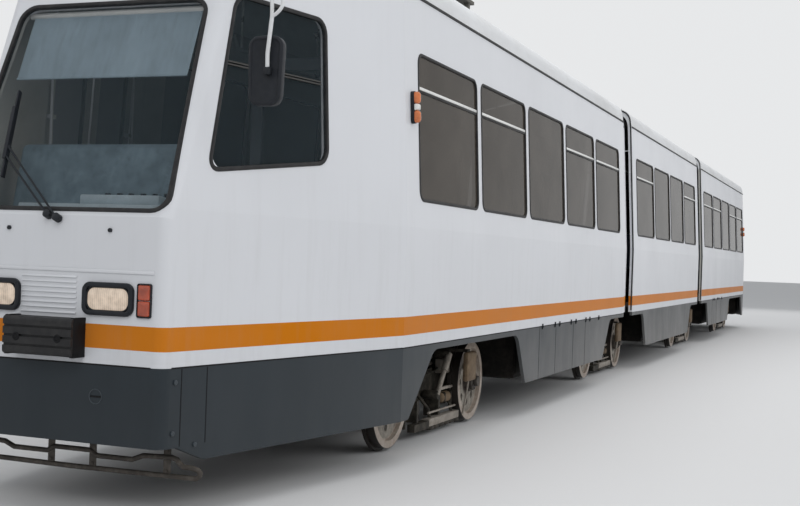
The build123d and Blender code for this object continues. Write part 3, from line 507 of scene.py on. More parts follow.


# Ribbed lens colour: painted highlight bands along the moulded ribs over a clouded tint
def lens_coat(name, colour, glow=0.0, ribs=90.0, across="Z"):
    made, tree, spot = new_material(name)
    rib = shade_node(tree, "TexWave", Vector=spot, Scale=ribs, Distortion=0.4)
    rib.bands_direction = across
    ribbed = rib.outputs["Fac"]
    cloud = graded(tree, noise(tree, spot, 22.0, 3.0), 0.3, 0.7)
    deep = blend_colour(tree, cloud, tone(colour, 0.6), tone(colour, 1.25))
    # Lighter bands on the rib crests are painted highlights
    painted_rib_highlights = graded(tree, ribbed, 0, 1, 0, 0.35)
    lay_skin(tree, Base_Color=blend_colour(tree, painted_rib_highlights, deep, tone(colour, 1.6)),
             Normal=relief_of(tree, ribbed, 0.001, 0.5), Roughness=0.14, Coat_Weight=0.6, Coat_Roughness=0.05)
    if glow:
        lay_skin(tree, Emission_Color=(1.0, 0.72, 0.45, 1), Emission_Strength=glow)
    return made


amber = lens_coat("amber_lens", (0.50, 0.13, 0.03))
black_plastic = coat("black_plastic", (0.014, 0.016, 0.020), 0.45, cloud=0.15, patch=9,
                     soil=(0.06, 0.06, 0.062), soiled=0.15, specular=0.22)


# Domed lens: a rounded face with a rising rim and crown, closed behind
def domed(width, height, radius, rise, back=0.0):
    face = raised(rounded_face(box_corners(width, height), radius, 5), rise * 0.6 + back,
                  (radius * 0.45, rise * 0.3), (radius * 0.40, rise * 0.1))
    for vertex in face.data.vertices:
        vertex.co.z -= back
    return face


for side, hand in ((1, "left_"), (-1, "right_")):
    for place, stand_off, z, word, body in ((2420, 0.022, 2.437, "turn_lamp", "car_a"),
                                            (24760, 0.0, 2.31, "rear_turn_lamp", "car_c")):
        name = hand + word
        spot = wall_place(at(place), z, side, stand_off)
        base = place_by(domed(0.056, 0.222, 0.024, 0.006, 0.026), spot)
        lenses = [place_by(domed(0.050, 0.084, 0.022, 0.042), spot @ moved(0, up, 0))
                  for up in (0.064, -0.064)]
        middle = place_by(domed(0.046, 0.046, 0.010, 0.036), spot)
        finish(name + "_base", [base], black_plastic, body, 50)
        finish(name + "_lens", lenses, amber, body, 50)
        finish(name + "_middle", [middle], bright, body, 50)


# Rain gutters: a thin dark channel along the joint of wall and roof, on each car and round the cab.
wall_ends = {"a": (at(9962), kink_x), "b": (at(16773), at(10532)), "c": (-front_x + 0.797, at(17343))}
gutter_z = 3.222
gutter_y = wall_y(gutter_z) + 0.002
for car, (rear, front) in wall_ends.items():
    strips = []
    for y in (gutter_y, -gutter_y):
        strips.append(plank((rear, y - 0.006, gutter_z - 0.008), (front, y + 0.006, gutter_z + 0.012)))
    if car == "a":
        for side in (1, -1):
            strip = plank((-0.86, -0.012, -0.006), (0.86, 0.008, 0.008))
            strips.append(place_by(strip, taper_place(0.86, gutter_z, side)))
    finish(car + "_gutters", strips, rubber, "car_" + car, edge=(0.003, 1))


# Car joints: the drum is painted like the body and each car meets it with a hollow rubber lip round
# its open end, so each joint shows two dark lines.
def tube(points, radius, closed=False, round_line=False, sides=2):
    line = bpy.data.curves.new("tube", "CURVE")
    line.dimensions = "3D"
    run = line.splines.new("NURBS" if round_line else "POLY")
    run.points.add(len(points) - 1)
    for node, point in zip(run.points, points):
        node.co = (*point, 1)
    run.use_cyclic_u = closed
    if round_line:
        run.order_u = 3
        run.use_endpoint_u = not closed
        run.resolution_u = 5
    line.bevel_depth = radius
    line.bevel_resolution = sides
    line.use_fill_caps = True
    made = bpy.data.objects.new("tube", line)
    bpy.context.scene.collection.objects.link(made)
    alone(made)
    bpy.ops.object.convert(target="MESH")
    return bpy.context.object


section = [(half_width, 0.830), (half_width, waist), (wall_y(gutter_z), gutter_z), (0.9915, 3.335),
           (0.972, 3.380), (0.940, 3.418), (0.893, 3.444), (0.62, 3.514), (0.45, 3.548), (0.2, 3.560),
           (0, 3.560)]
roof_edge = 3.3


def arch(x, inset):
    points = []
    for y, z in section:
        drawn_in, lowered = (inset, 0) if z < roof_edge else (inset * 0.3, inset)
        points.append((x, max(0.0, y - drawn_in), z - lowered))
    return points + [(x, -y, z) for x, y, z in reversed(points[:-1])]


for name, body, x, inset, radius in (("a_end_lip", "car_a", at(9962) - 0.002, 0.012, 0.004),
                                     ("b_front_lip", "car_b", at(10532) + 0.004, 0.014, 0.009),
                                     ("b_rear_lip", "car_b", at(16773) - 0.002, 0.012, 0.004),
                                     ("c_end_lip", "car_c", at(17343) + 0.004, 0.014, 0.009)):
    finish(name, [tube(arch(x, inset), radius)], rubber, body, 60)
drum_cap, cap_line = 3.185, 0.022
drum_paint = livery_coat("drum_paint", 0.45, ((drum_cap, (0.03, 0.03, 0.03)),
                                              (drum_cap + cap_line, (0.30, 0.33, 0.355))))
for name in ("gangway_front", "gangway_rear"):
    repaint(nodes[name], drum_paint)


# Skirts: plain steel panels in blue grey under the sill, hung on small hooks, with a round key cover
# and bolts at the front. Dust from the road lies on their lower half, and a painted grazing sheen
# lightens them towards the rear.
skirt_grey = (0.019, 0.026, 0.032)
skirt_dust_and_sheen = (0.155, 0.152, 0.148)


# Dark paint with the dust that the wheels throw, more of it towards the foot, mixed with a painted grazing
# sheen that grows towards the rear
def skirt_coat(name, front_dust_and_sheen, dusty):
    made = coat(name, skirt_grey, 0.42, cloud=0.12, patch=1.1, specular=0.2)
    tree = made.node_tree
    spot = shade_node(tree, "TexCoord").outputs["Object"]
    # Painted sheen: the dust colour grows towards the rear to stand in for the grazing reflection
    rearward_sheen = graded(tree, part_of(tree, spot, "X"), 11.8, 3.5, front_dust_and_sheen, dusty)
    foot = graded(tree, part_of(tree, spot, "Z"), 0.75, 0.33, 0.75, 1.25)
    streaks = shade_node(tree, "Mapping", Vector=spot, Scale=(2.2, 2.2, 0.7)).outputs[0]
    runs = graded(tree, noise(tree, streaks, 2.0, 8.0, 0.65), 0.25, 0.75, 0.6, 1.4)
    share = sums(tree, "MULTIPLY", sums(tree, "MULTIPLY", rearward_sheen, foot), runs)
    paint = blend_colour(tree, share, fed_by(tree, "Base Color"), skirt_dust_and_sheen)
    # Faces turned in under the car are painted near black as shade in the wheel bays
    normal = part_of(tree, shade_node(tree, "NewGeometry").outputs["Normal"], "Y")
    inside = sums(tree, "LESS_THAN", sums(tree, "MULTIPLY", normal, part_of(tree, spot, "Y")), -0.05)
    lay_skin(tree, Base_Color=blend_colour(tree, inside, paint, (0.014, 0.013, 0.012)))
    return made


skirt_paint = skirt_coat("skirt_paint", 0.05, 0.62)
for car in "abc":
    repaint(nodes[car + "_skirts"], skirt_paint)
shadow_line = coat("shadow_line", (0.008, 0.008, 0.009), 0.7, cloud=0.3, patch=12, specular=0.2)
sill = 0.807
seam_places = {"a": (5855, 6487, 7235, 7800), "c": (18960, 19680, 20400)}
hook_places = {"a": (5952, 6440, 6623, 7118, 7332, 7804, 8004, 8470),
               "c": (19060, 19300, 19780, 20020, 20500)}
door_clearance = window_width / 2 + 0.06
door_spans = {car: [module_x(car, module) for module in door_modules[car]] for car in "abc"}


# Those of some places that have no door over them
def beside_doors(car, side, places):
    return [at(place) for place in places
            if side > 0 or all(abs(at(place) - middle) > door_clearance for middle in door_spans[car])]


for car in "ac":
    seams, hooks = [], []
    for side in (1, -1):
        out = side * half_width
        for x in beside_doors(car, side, seam_places[car]):
            seams.append(plank((x - 0.003, out, 0.315), (x + 0.003, out + side * 0.0012, 0.800)))
        for x in beside_doors(car, side, hook_places[car]):
            hooks.append(plank((x - 0.012, out, sill - 0.030), (x + 0.012, out + side * 0.010, sill + 0.022)))
            hooks.append(plank((x - 0.020, out, sill - 0.012), (x + 0.020, out + side * 0.018, sill + 0.004)))
        seams.append(plank((wall_ends[car][0], out - 0.002, sill - 0.005),
                           (wall_ends[car][1], out + side * 0.001, sill + 0.003)))
    finish(car + "_skirt_hooks", hooks, black_plastic, "car_" + car, edge=(0.003, 2))
    if car == "a":
        for side in (1, -1):
            for along in (1.99, 2.19):
                seam = plank((-0.003, -0.2, 0), (0.003, 0.2, 0.0012))
                seams.append(place_by(seam, taper_place(along, 0.6, side)))
            seam = plank((-1.12, -0.004, -0.004), (1.15, 0.004, 0.001))
            seams.append(place_by(seam, taper_place(1.15, sill, side)))
        seams.append(plank((front_x - 0.004, -0.62, sill - 0.005), (front_x + 0.001, 0.62, sill + 0.003)))
    finish(car + "_skirt_seams", seams, shadow_line, "car_" + car)


# The faces whose normal passes a test, inset in steps of thickness and depth
def panelled(piece, test, *insets, apart=False):
    alone(piece)
    bpy.ops.object.mode_set(mode="EDIT")
    bpy.ops.mesh.select_all(action="DESELECT")
    bpy.ops.object.mode_set(mode="OBJECT")
    for face in piece.data.polygons:
        face.select = test(face.normal)
    bpy.ops.object.mode_set(mode="EDIT")
    for thickness, depth in insets:
        bpy.ops.mesh.inset(thickness=thickness, depth=depth, use_individual=apart)
    bpy.ops.object.mode_set(mode="OBJECT")
    return piece


def disc(vertices, radius, depth, place=(0, 0, 0), lying=False):
    bpy.ops.mesh.primitive_cylinder_add(vertices=vertices, radius=radius, depth=depth, location=place,
                                        rotation=(math.pi / 2 if lying else 0, 0, 0))
    return bpy.context.object


def bolt(spot, radius=0.012, proud=0.006):
    head = disc(12, radius, proud, (0, 0, proud / 2))
    panelled(head, lambda normal: normal.z > 0.9, (radius * 0.25, radius * 0.2))
    return place_by(head, spot)


# Place on the flat front, or with way -1 on the rear
def end_place(y, z, way=1, stand_off=0.0):
    return lay_on((way * (front_x + stand_off), y, z), (0, 0, 1), (way, 0, 0))


def ring_at(spot, radius, wire, segments):
    bpy.ops.mesh.primitive_torus_add(major_radius=radius, minor_radius=wire, major_segments=segments,
                                     minor_segments=8)
    return place_by(bpy.context.object, spot)


key_place = end_place(0.294, 0.640)
skirt_bolts = [bolt(taper_place(along, z, side), 0.014) for side in (1, -1)
               for along, z in ((2.24, 0.733), (2.25, 0.472), (2.075, 0.398))]
skirt_bolts.append(ring_at(key_place, 0.038, 0.0035, 32))
key_slot = place_by(plank((-0.034, -0.005, -0.002), (0.034, 0.005, 0.003), 0.002), key_place)
finish("key_slot", [key_slot], shadow_line, "car_a")
bolt_paint = coat("skirt_bolt_paint", tone(skirt_grey, 1.25), 0.35, cloud=0.15, patch=20)
finish("front_skirt_bolts", skirt_bolts, bolt_paint, "car_a")


# Front end: two headlamps in black bezels, red marker lamps, pressed louvres between them, a raised
# bead across the panel, two washer jets and a rubber buffer block between steel cheeks.
headlamp_y, marker_y, lamp_z = 0.355, 0.572, 1.147
bezels, lenses, markers = [], [], []
for side in (1, -1):
    spot = end_place(side * headlamp_y, lamp_z)
    marker_spot = end_place(side * marker_y, lamp_z)
    for place, width, height, radius, shown, proud in ((spot, 0.310, 0.172, 0.046, 0.026, 0.024),
                                                       (spot, 0.266, 0.130, 0.050, 0.008, 0.018),
                                                       (marker_spot, 0.086, 0.176, 0.012, 0.006, 0.014)):
        bezels.append(place_by(gasket(box_corners(width, height), radius, shown, proud, 0.002), place))
    for x in (-0.135, 0.135):
        for y in (-0.064, 0.064):
            bezels.append(bolt(spot @ moved(x, y, 0.022), 0.005, 0.004))
    lenses.append(place_by(domed(0.262, 0.126, 0.050, 0.016), spot))
    for up in (-0.041, 0.041):
        markers.append(place_by(domed(0.072, 0.078, 0.010, 0.018), marker_spot @ moved(0, up, 0)))
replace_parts(finish("headlamp_bezels", bezels, black_plastic, "car_a", 50), "front_lamps")
headlamp_glass = lens_coat("headlamp_glass", (0.56, 0.47, 0.39), 0.14, 26.0, "Y")
finish("headlamp_lenses", lenses, headlamp_glass, "car_a", 60)
finish("marker_lenses", markers, lens_coat("red_lens", (0.36, 0.055, 0.020)), "car_a", 50)

louvres = []
for index in range(8):
    slat = plank((-0.175, -0.006, -0.002), (0.175, 0.006, 0.009))
    for vertex in slat.data.vertices:
        if vertex.co.z > 0 and vertex.co.y > 0:
            vertex.co.z = 0.001
    louvres.append(place_by(slat, end_place(-0.021, 1.068 + index * 0.0268)))
louvres.append(place_by(plank((-0.625, -0.009, -0.002), (0.625, 0.009, 0.007)), end_place(0, 1.290)))
finish("front_louvres", louvres, livery, "car_a", edge=(0.003, 2))
jets = [bolt(end_place(y, 1.502), 0.011, 0.012) for y in (-0.29, 0.35)]
finish("washer_jets", jets, black_plastic, "car_a")

for way, body, word in ((1, "car_a", "front"), (-1, "car_c", "rear")):
    repaint(nodes[word + "_buffer"], rubber)
    fittings = []
    for y in (-0.13, 0.13):
        fittings.append(ring_at(end_place(y, 0.935, way, 0.119), 0.017, 0.006, 20))
        fittings.append(bolt(end_place(y, 0.935, way, 0.113), 0.014, 0.006))
    for y in (-0.206, 0.206):
        fittings.append(plank((way * front_x, y - 0.012, 0.838), (way * (front_x + 0.10), y + 0.012, 1.045)))
    finish(word + "_buffer_fittings", fittings, shadow_line, body, edge=(0.004, 2))


# Outside mirrors: a rounded black plastic head on each side of the cab, hung from a bent white steel
# tube whose two branches are screwed to the body above the driver's window. The glass faces back.
mirror_x, mirror_y, mirror_z = 12.640, 1.110, 2.337
arm_roots = ((1.760, 2.950), (1.600, 2.920))
arm_y = mirror_y + 0.026
white_steel = coat("white_steel", (0.60, 0.61, 0.62), 0.35, cloud=0.06, patch=8, soil=(0.30, 0.27, 0.23),
                   soiled=0.2)
mirror_glass = coat("mirror_glass", (0.62, 0.65, 0.68), 0.06, metallic=1.0, cloud=0.03, patch=3,
                    relief=0.00002)
for side, word in ((1, "left"), (-1, "right")):
    head = raised(rounded_face(box_corners(0.190, 0.356), 0.055), 0.046, (0.016, 0.006), (0.006, -0.009))
    for vertex in head.data.vertices:
        vertex.co.x *= 1 + 0.10 * min(0.0, vertex.co.y) / 0.17
    spot = lay_on((mirror_x - 0.020, side * mirror_y, mirror_z), (0, 0, 1), (1, side * 0.08, 0))
    soften(place_by(head, spot), 0.004)
    glass = place_by(raised(rounded_face(box_corners(0.160, 0.326), 0.044), -0.003), spot)
    clamp = plank((mirror_x + 0.022, side * arm_y - 0.018, 2.312),
                  (mirror_x + 0.056, side * arm_y + 0.018, 2.352), 0.006)
    roots = [taper_place(along, z, side) for along, z in arm_roots]
    stem = [(0.042, arm_y, 2.335), (0.046, arm_y, 2.420), (0.042, arm_y + 0.016, 2.606)]
    branches = ([stem[2], (0.034, 1.146, 2.700), (-0.06, 1.08, 2.86)],
                [stem[2], (0.036, 1.208, 2.640), (0.010, 1.196, 2.720), (-0.10, 1.13, 2.85)])
    arms = [tube([(mirror_x + x, side * y, z) for x, y, z in stem], 0.011)]
    for root, branch in zip(roots, branches):
        line = [(mirror_x + x, side * y, z) for x, y, z in branch] + [root.translation]
        arms += [tube(line, 0.010, round_line=True), bolt(root, 0.024, 0.012)]
    head = finish(word + "_mirror_head", [head, clamp], black_plastic, "car_a", 50)
    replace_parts(head, "mirrors")
    finish(word + "_mirror_glass", [glass], mirror_glass, "car_a")
    finish(word + "_mirror_arm", arms, white_steel, "car_a", 50)

# Windscreen wiper: a pantograph of two thin black arms on pivots at the foot of the screen carries
# one long rubber blade that stands upright when parked.
wiper_pivots = ((-0.032, -0.006), (0.031, -0.023))
wiper_knees = ((-0.407, 0.332), (-0.398, 0.377))
blade_foot, blade_top = (-0.393, 0.203), (-0.449, 0.732)


def on_glass(place, stand_off):
    return screen_place(*place, 1, stand_off).translation


wiper_parts = []
for pivot, knee in zip(wiper_pivots, wiper_knees):
    wiper_parts += [tube([on_glass(pivot, 0.030), on_glass(knee, 0.034)], 0.006),
                    bolt(screen_place(*pivot), 0.022, 0.036),
                    bolt(screen_place(*knee, 1, 0.024), 0.010, 0.016)]
blade_middle = [(a + b) / 2 for a, b in zip(blade_foot, blade_top)]
blade_half = math.dist(blade_foot, blade_top) / 2
lean_over = math.atan2(blade_foot[0] - blade_top[0], blade_top[1] - blade_foot[1])
blade_spot = screen_place(*blade_middle, 1, 0.027) @ Matrix.Rotation(lean_over, 4, "Z")
for half_thick, half_long, low, high in ((0.006, blade_half, -0.010, 0.010), (0.011, 0.16, 0.008, 0.020),
                                         (0.003, blade_half, -0.022, -0.008)):
    bar = plank((-half_thick, -half_long, low), (half_thick, half_long, high), 0.002)
    wiper_parts.append(place_by(bar, blade_spot))
wiper = finish("wiper_arms_and_blade", wiper_parts, black_plastic, "car_a", 50)
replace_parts(wiper, "wiper")

# Lifeguard: a bent steel tube across the front under the skirt, bolted to flat hangers. It lifts
# what lies on the rails out of the way of the wheels.
guard_x, guard_face = 12.630, 12.634
guard_low = [(-0.795, 0.240), (-0.775, 0.228), (0, 0.222), (0.775, 0.228), (0.795, 0.240), (0.802, 0.258)]
guard_high = [(0.790, 0.272), (0.755, 0.280), (0.700, 0.282), (0.675, 0.298), (0.660, 0.316), (0.625, 0.326),
              (0.450, 0.318), (0.385, 0.292), (0.160, 0.292), (0.120, 0.318)]
guard_line = guard_low + guard_high + [(-y, z) for y, z in reversed(guard_high)] + [(-0.802, 0.258)]
dusty_steel = coat("dusty_steel", (0.055, 0.048, 0.042), 0.6, metallic=0.2, cloud=0.2, patch=7,
                   soil=(0.20, 0.18, 0.155), soiled=0.5, specular=0.25)
guard_tube = tube([(guard_x, y, z) for y, z in guard_line], 0.0145, closed=True, sides=3)
hangers = []
for y in (0.135, -0.135, 0.600, -0.600):
    hangers.append(plank((guard_x - 0.004, y - 0.022, 0.222), (guard_face, y + 0.022, 0.760)))
    hangers.append(plank((guard_x - 0.20, y - 0.022, 0.700), (guard_face, y + 0.022, 0.762)))
    hangers += [bolt(end_place(y, z, 1, guard_face - front_x), 0.010, 0.007) for z in (0.25, 0.36)]
hangers.append(plank((guard_x - 0.24, -0.64, 0.745), (guard_x - 0.16, 0.64, 0.825)))
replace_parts(finish("lifeguard_tube", [guard_tube], dusty_steel, "car_a", 60), "lifeguard")
finish("lifeguard_hangers", hangers, dusty_steel, "car_a", edge=(0.002, 1))


# Bogies: four pressed steel frames with coil springs between beam and upper plate, a slanting damper,
# a hanging rail brake and a small tank on each side. All is brown black and coated with road dust.
bogie_places = (at(3870), at(10247), at(17058), at(23160))
beam_y, beam_top, spring_top = 0.560, 0.472, 0.735
frame_paint = coat("underframe_paint", (0.022, 0.020, 0.016), 0.65, cloud=0.25, patch=5,
                   soil=(0.15, 0.13, 0.105), soiled=0.55, relief=0.0008, grain=90, specular=0.2)
rusty = coat("rusty_steel", (0.150, 0.108, 0.068), 0.6, cloud=0.3, patch=9, soil=(0.055, 0.030, 0.018),
             soiled=0.7, specular=0.2)
rail_brake = coat("rail_brake_steel", (0.30, 0.27, 0.235), 0.6, metallic=0.2, cloud=0.25, patch=12,
                  soil=(0.10, 0.08, 0.06), soiled=0.55, specular=0.25)
for index in range(1, 5):
    repaint(nodes["bogie_%d" % index], frame_paint)


# Turns of wire about an axis from one end to the other, with the first turn at right angles to it
def coil(start, end, radius, wire, turns, steps, across, other):
    start, end, across, other = (Vector(value) for value in (start, end, across, other))
    points = []
    for step in range(turns * steps + 1):
        angle = 2 * math.pi * step / steps
        middle = start.lerp(end, step / (turns * steps))
        points.append(middle + across * (radius * math.cos(angle)) + other * (radius * math.sin(angle)))
    return tube(points, wire, sides=1)


wire = 0.012
axle_boxes, damper_y = 0.933, 0.735
damper = ((-0.440, 0.620), (-0.330, 0.488), (-0.175, 0.302))
frames, tanks, brakes = [], [], []
side_blocks = [  # group, span along, middle and half width across, span up, edge, segments
    (frames, -0.42, 0.42, beam_y, 0.085, spring_top, spring_top + 0.024, 0.008, 1),
    (tanks, -0.575, -0.335, 0.690, 0.046, 0.215, 0.305, 0.040, 4),
    (brakes, -0.64, -0.24, 0.712, 0.010, 0.330, 0.352, 0, 0),
    (brakes, -0.580, -0.425, 0.66, 0.04, 0.455, 0.575, 0.008, 2),
    (brakes, -0.665, 0.060, 0.730, 0.034, 0.072, 0.134, 0.006, 2),
    (tanks, -0.745, -0.505, 0.860, 0.025, 0.390, 0.640, 0.020, 2),
    (frames, -0.600, -0.540, 0.720, 0.145, 0.636, 0.660, 0, 0)]
side_blocks += [(frames, x - 0.008, x + 0.008, beam_y, 0.07, 0.52, spring_top, 0, 0) for x in (-0.205, 0.205)]
side_blocks += [(frames, x - 0.010, x + 0.010, 0.690, 0.049, 0.212, 0.308, 0.041, 4) for x in (-0.38, -0.53)]
side_blocks += [(frames, -0.657 + index * 0.121, -0.553 + index * 0.121, 0.730, 0.036, 0.044, 0.074, 0.004, 1)
                for index in range(6)]
side_tubes = [  # group, points, radius, rounded, sides
    (brakes, [(x, damper_y, z) for x, z in damper[:2]], 0.030, False, 3),
    (brakes, [(x, damper_y, z) for x, z in damper[1:]], 0.021, False, 3),
    (frames, [(0.30, 0.63, 0.44), (0.42, 0.66, 0.40), (0.47, 0.70, 0.22), (0.50, 0.715, 0.10)],
     0.013, True, 2),
    (frames, [(-0.95, 0.62, 0.50), (-0.60, 0.64, 0.545), (-0.20, 0.64, 0.44), (0.25, 0.64, 0.50),
              (0.95, 0.62, 0.50)], 0.009, True, 2),
    (brakes, [(-0.63, 0.735, 0.176), (0.03, 0.735, 0.176)], 0.009, False, 2),
    (brakes, [(-0.600, 0.860, 0.395), (-0.620, 0.840, 0.260), (-0.655, 0.800, 0.105)], 0.009, True, 2)]
side_tubes += [(frames, [(x, 0.730, 0.12), (x, 0.710, 0.20), (x, 0.62, 0.30)], 0.014, False, 2)
               for x in (-0.56, -0.04)]
for side in (1, -1):
    for x in (-0.30, 0.30):
        frames.append(coil((x, side * beam_y, beam_top + wire), (x, side * beam_y, spring_top - wire), 0.066,
                           wire, 5, 12, (1, 0, 0), (0, 1, 0)))
        for z, radius in ((beam_top + 0.006, 0.088), (spring_top - 0.006, 0.084)):
            frames.append(soften(disc(20, radius, 0.016, (x, side * beam_y, z)), 0.003, 1))
    for group, rear, front, middle, half, low, high, edge, segments in side_blocks:
        block = plank((rear, side * middle - half, low), (front, side * middle + half, high), edge, segments)
        group.append(block)
    for group, points, radius, rounded, sides in side_tubes:
        group.append(tube([(x, side * y, z) for x, y, z in points], radius, round_line=rounded, sides=sides))
    for x in (-axle_boxes, axle_boxes):
        frames.append(plank((x - 0.095, side * 0.600 - 0.03, 0.262),
                            (x + 0.095, side * 0.600 + 0.012, 0.462), 0.02))
    for x, z in (damper[0], damper[2]):
        frames.append(soften(disc(16, 0.036, 0.13, (x, side * 0.68, z), lying=True), 0.004, 1))
    for x in (-0.38, -0.53):
        frames.append(plank((x - 0.010, side * 0.66 - 0.03, 0.295), (x + 0.010, side * 0.60 + 0.03, 0.325)))
for way in (1, -1):  # cross beam, motor case and gear case
    for middle, half, right, left, low, high, edge, segments in (
            (0.46, 0.05, -0.53, 0.53, 0.44, 0.70, 0.02, 2), (0.21, 0.17, -0.40, 0.40, 0.24, 0.735, 0.06, 3),
            (0.72, 0.19, -0.46, -0.20, 0.22, 0.56, 0.07, 3)):
        block = plank((way * middle - half, right, low), (way * middle + half, left, high), edge, segments)
        frames.append(block)
groups = [(join("bogie_" + word, parts), material, word)
          for parts, material, word in ((frames, frame_paint, "springs"), (tanks, rusty, "tanks"),
                                        (brakes, rail_brake, "rail_brakes"))]
for index, x in enumerate(bogie_places, 1):
    for template, material, word in groups:
        finish("bogie_%d_%s" % (index, word), [copy_of(template, moved(x, 0, 0))], material,
               "bogie_%d" % index, 45)
drop(*(template for template, material, word in groups))

# Wheelsets: steel discs with a shrunk tyre, a ring of round holes and a capped axle end. The tyre's side
# face is light, its tread is painted near black as shade, and the disc is powdered with light brake dust.
axle_z = 0.362
disc_dust = ((0.105, 0.090, 0.074), (0.335, 0.310, 0.270))
rim_dust = ((0.27, 0.215, 0.175), (0.42, 0.37, 0.32))
hub_dust = ((0.035, 0.030, 0.026), (0.11, 0.095, 0.08))
tread_painted_shade = (0.030, 0.026, 0.023)


def wheel_coat(name, x):
    made, tree, spot = new_material(name)
    centred = shade_node(tree, "Mapping", Vector=spot, Location=(-x, 0, -axle_z)).outputs[0]
    flat = shade_node(tree, "VectorMath", _0=centred, _1=(1, 0, 1))
    flat.operation = "MULTIPLY"
    radial = shade_node(tree, "VectorMath", _0=flat.outputs[0])
    radial.operation = "LENGTH"
    reach = radial.outputs["Value"]
    dust = noise(tree, spot, 16.0, 8.0, 0.7)
    hub = blend_colour(tree, graded(tree, dust, 0.35, 0.65), *hub_dust)
    plate = blend_colour(tree, graded(tree, dust, 0.3, 0.7), *disc_dust)
    rim = blend_colour(tree, graded(tree, dust, 0.35, 0.7), *rim_dust)
    colour = blend_colour(tree, graded(tree, reach, 0.115, 0.135), hub, plate)
    colour = blend_colour(tree, graded(tree, reach, 0.268, 0.282), colour, rim)
    # The tread beyond the tyre's face is painted near black: painted shade
    lay_skin(tree, Base_Color=blend_colour(tree, graded(tree, reach, 0.335, 0.339), colour, tread_painted_shade),
             Roughness=graded(tree, reach, 0.27, 0.33, 0.68, 0.36), Specular_IOR_Level=0.25,
             Normal=relief_of(tree, dust, 0.0012, 0.6))
    return made


caps = []
for side in (1, -1):
    caps.append(soften(disc(24, 0.082, 0.040, (0, side * 0.788, axle_z), lying=True), 0.008))
    caps.append(soften(disc(24, 0.046, 0.060, (0, side * 0.815, axle_z), lying=True), 0.008))
    for index in range(6):
        angle = math.radians(60 * index + 30)
        place = (0.064 * math.cos(angle), side * 0.806, axle_z + 0.064 * math.sin(angle))
        caps.append(bolt(lay_on(place, (0, 0, 1), (0, side, 0)), 0.008, 0.008))
hub_caps = join("hub_caps", caps)
for index in range(8):
    x = bogie_places[index // 2] + (-axle_boxes if index % 2 else axle_boxes)
    body = "wheelset_%d" % (index + 1)
    repaint(nodes[body], wheel_coat(body + "_steel", x))
    finish(body + "_hub_caps", [copy_of(hub_caps, moved(x, 0, 0))], dusty_steel, body,
           40)
drop(hub_caps)


# Underfloor equipment: folded steel cases for switchgear, converter and air reservoirs, hung on sole
# bars between the bogies. They are black with dust, and hide the view across under the floor.
case_spans = {"a": ((4.35, 7.35), (10.62, 12.30)), "b": ((-2.65, 0.78),),
              "c": ((-8.72, -5.78), (-12.30, -11.85))}
well_places = {"a": door_spans["a"] + [kink_x + 0.83], "b": door_spans["b"], "c": door_spans["c"]}
well_reach, under_cab = 0.78, 10.5
sole_left, case_top = 0.500, 0.868
case_paint = coat("equipment_paint", (0.012, 0.011, 0.010), 0.7, cloud=0.3, patch=2.5,
                  soil=(0.06, 0.052, 0.043), soiled=0.5, specular=0.15)
for car, spans in case_spans.items():
    cases = []
    for rear, front in spans:
        sole_right, well_side, outer = (-0.280, -0.10, 0.94) if front < under_cab else (0.080, 0.05, 0.62)
        for y in (sole_left, sole_right):
            cases.append(plank((rear, y - 0.03, case_top - 0.09), (front, y + 0.03, case_top)))
        count = max(1, round((front - rear) / 1.1))
        step = (front - rear - 0.05) / count
        for index in range(count):
            low_x = rear + 0.05 + index * step
            high_x = low_x + step - 0.06
            beside_well = any(low_x - well_reach < x < high_x + well_reach for x in well_places[car])
            case = plank((low_x, well_side if beside_well else -0.46, 0.345 if index % 2 else 0.330),
                         (high_x, outer, case_top - 0.02))
            cases.append(panelled(case, lambda normal: normal.y > 0.9 or normal.z < -0.9, (0.035, 0),
                                  (0.008, 0.010), apart=True))
            for x in (low_x + 0.12, high_x - 0.12):
                cases.append(plank((x - 0.02, outer + 0.004, case_top - 0.20),
                                   (x + 0.02, outer + 0.022, case_top - 0.12)))
    finish(car + "_underfloor_cases", cases, case_paint, "car_" + car, edge=(0.006, 1))


# Floors: steel plates with a grey ribbed rubber covering above, tarred and dusty black below.
floor_top = 0.930
tar = (0.014, 0.013, 0.011)
floor_covering = coat("floor_covering", (0.075, 0.070, 0.064), 0.6, cloud=0.15, patch=3,
                      soil=(0.14, 0.125, 0.10), soiled=0.4)
tree = floor_covering.node_tree
spot = shade_node(tree, "TexCoord").outputs["Object"]
above = sums(tree, "GREATER_THAN", part_of(tree, shade_node(tree, "NewGeometry").outputs["Normal"], "Z"), 0.5)
ribs = shade_node(tree, "TexWave", Vector=spot, Scale=28.0)
ribs.bands_direction = "Y"
inside = sums(tree, "GREATER_THAN", part_of(tree, spot, "Z"), floor_top)
ridge = sums(tree, "MULTIPLY", ribs.outputs["Fac"], inside)
lay_skin(tree, Base_Color=blend_colour(tree, above, tar, fed_by(tree, "Base Color")),
         Normal=relief_of(tree, ridge, 0.002, 0.5))
for car in "abc":
    repaint(nodes[car + "_floor"], floor_covering)


# Doors: five double folding doors on the right, each leaf a painted aluminium frame round a tall pane
# with a rubber edge and a rubber profile where the leaves meet.
leaf_middle, pane_half, pane_low, pane_high = 0.311, 0.207, 1.322, 2.722
pane_middle, pane_tall = (pane_low + pane_high) / 2, pane_high - pane_low
door_low, door_high = 0.452, 2.850
front_door_along = 0.830
door_glass, glass_clear = (0.050, 0.043, 0.036), -0.22


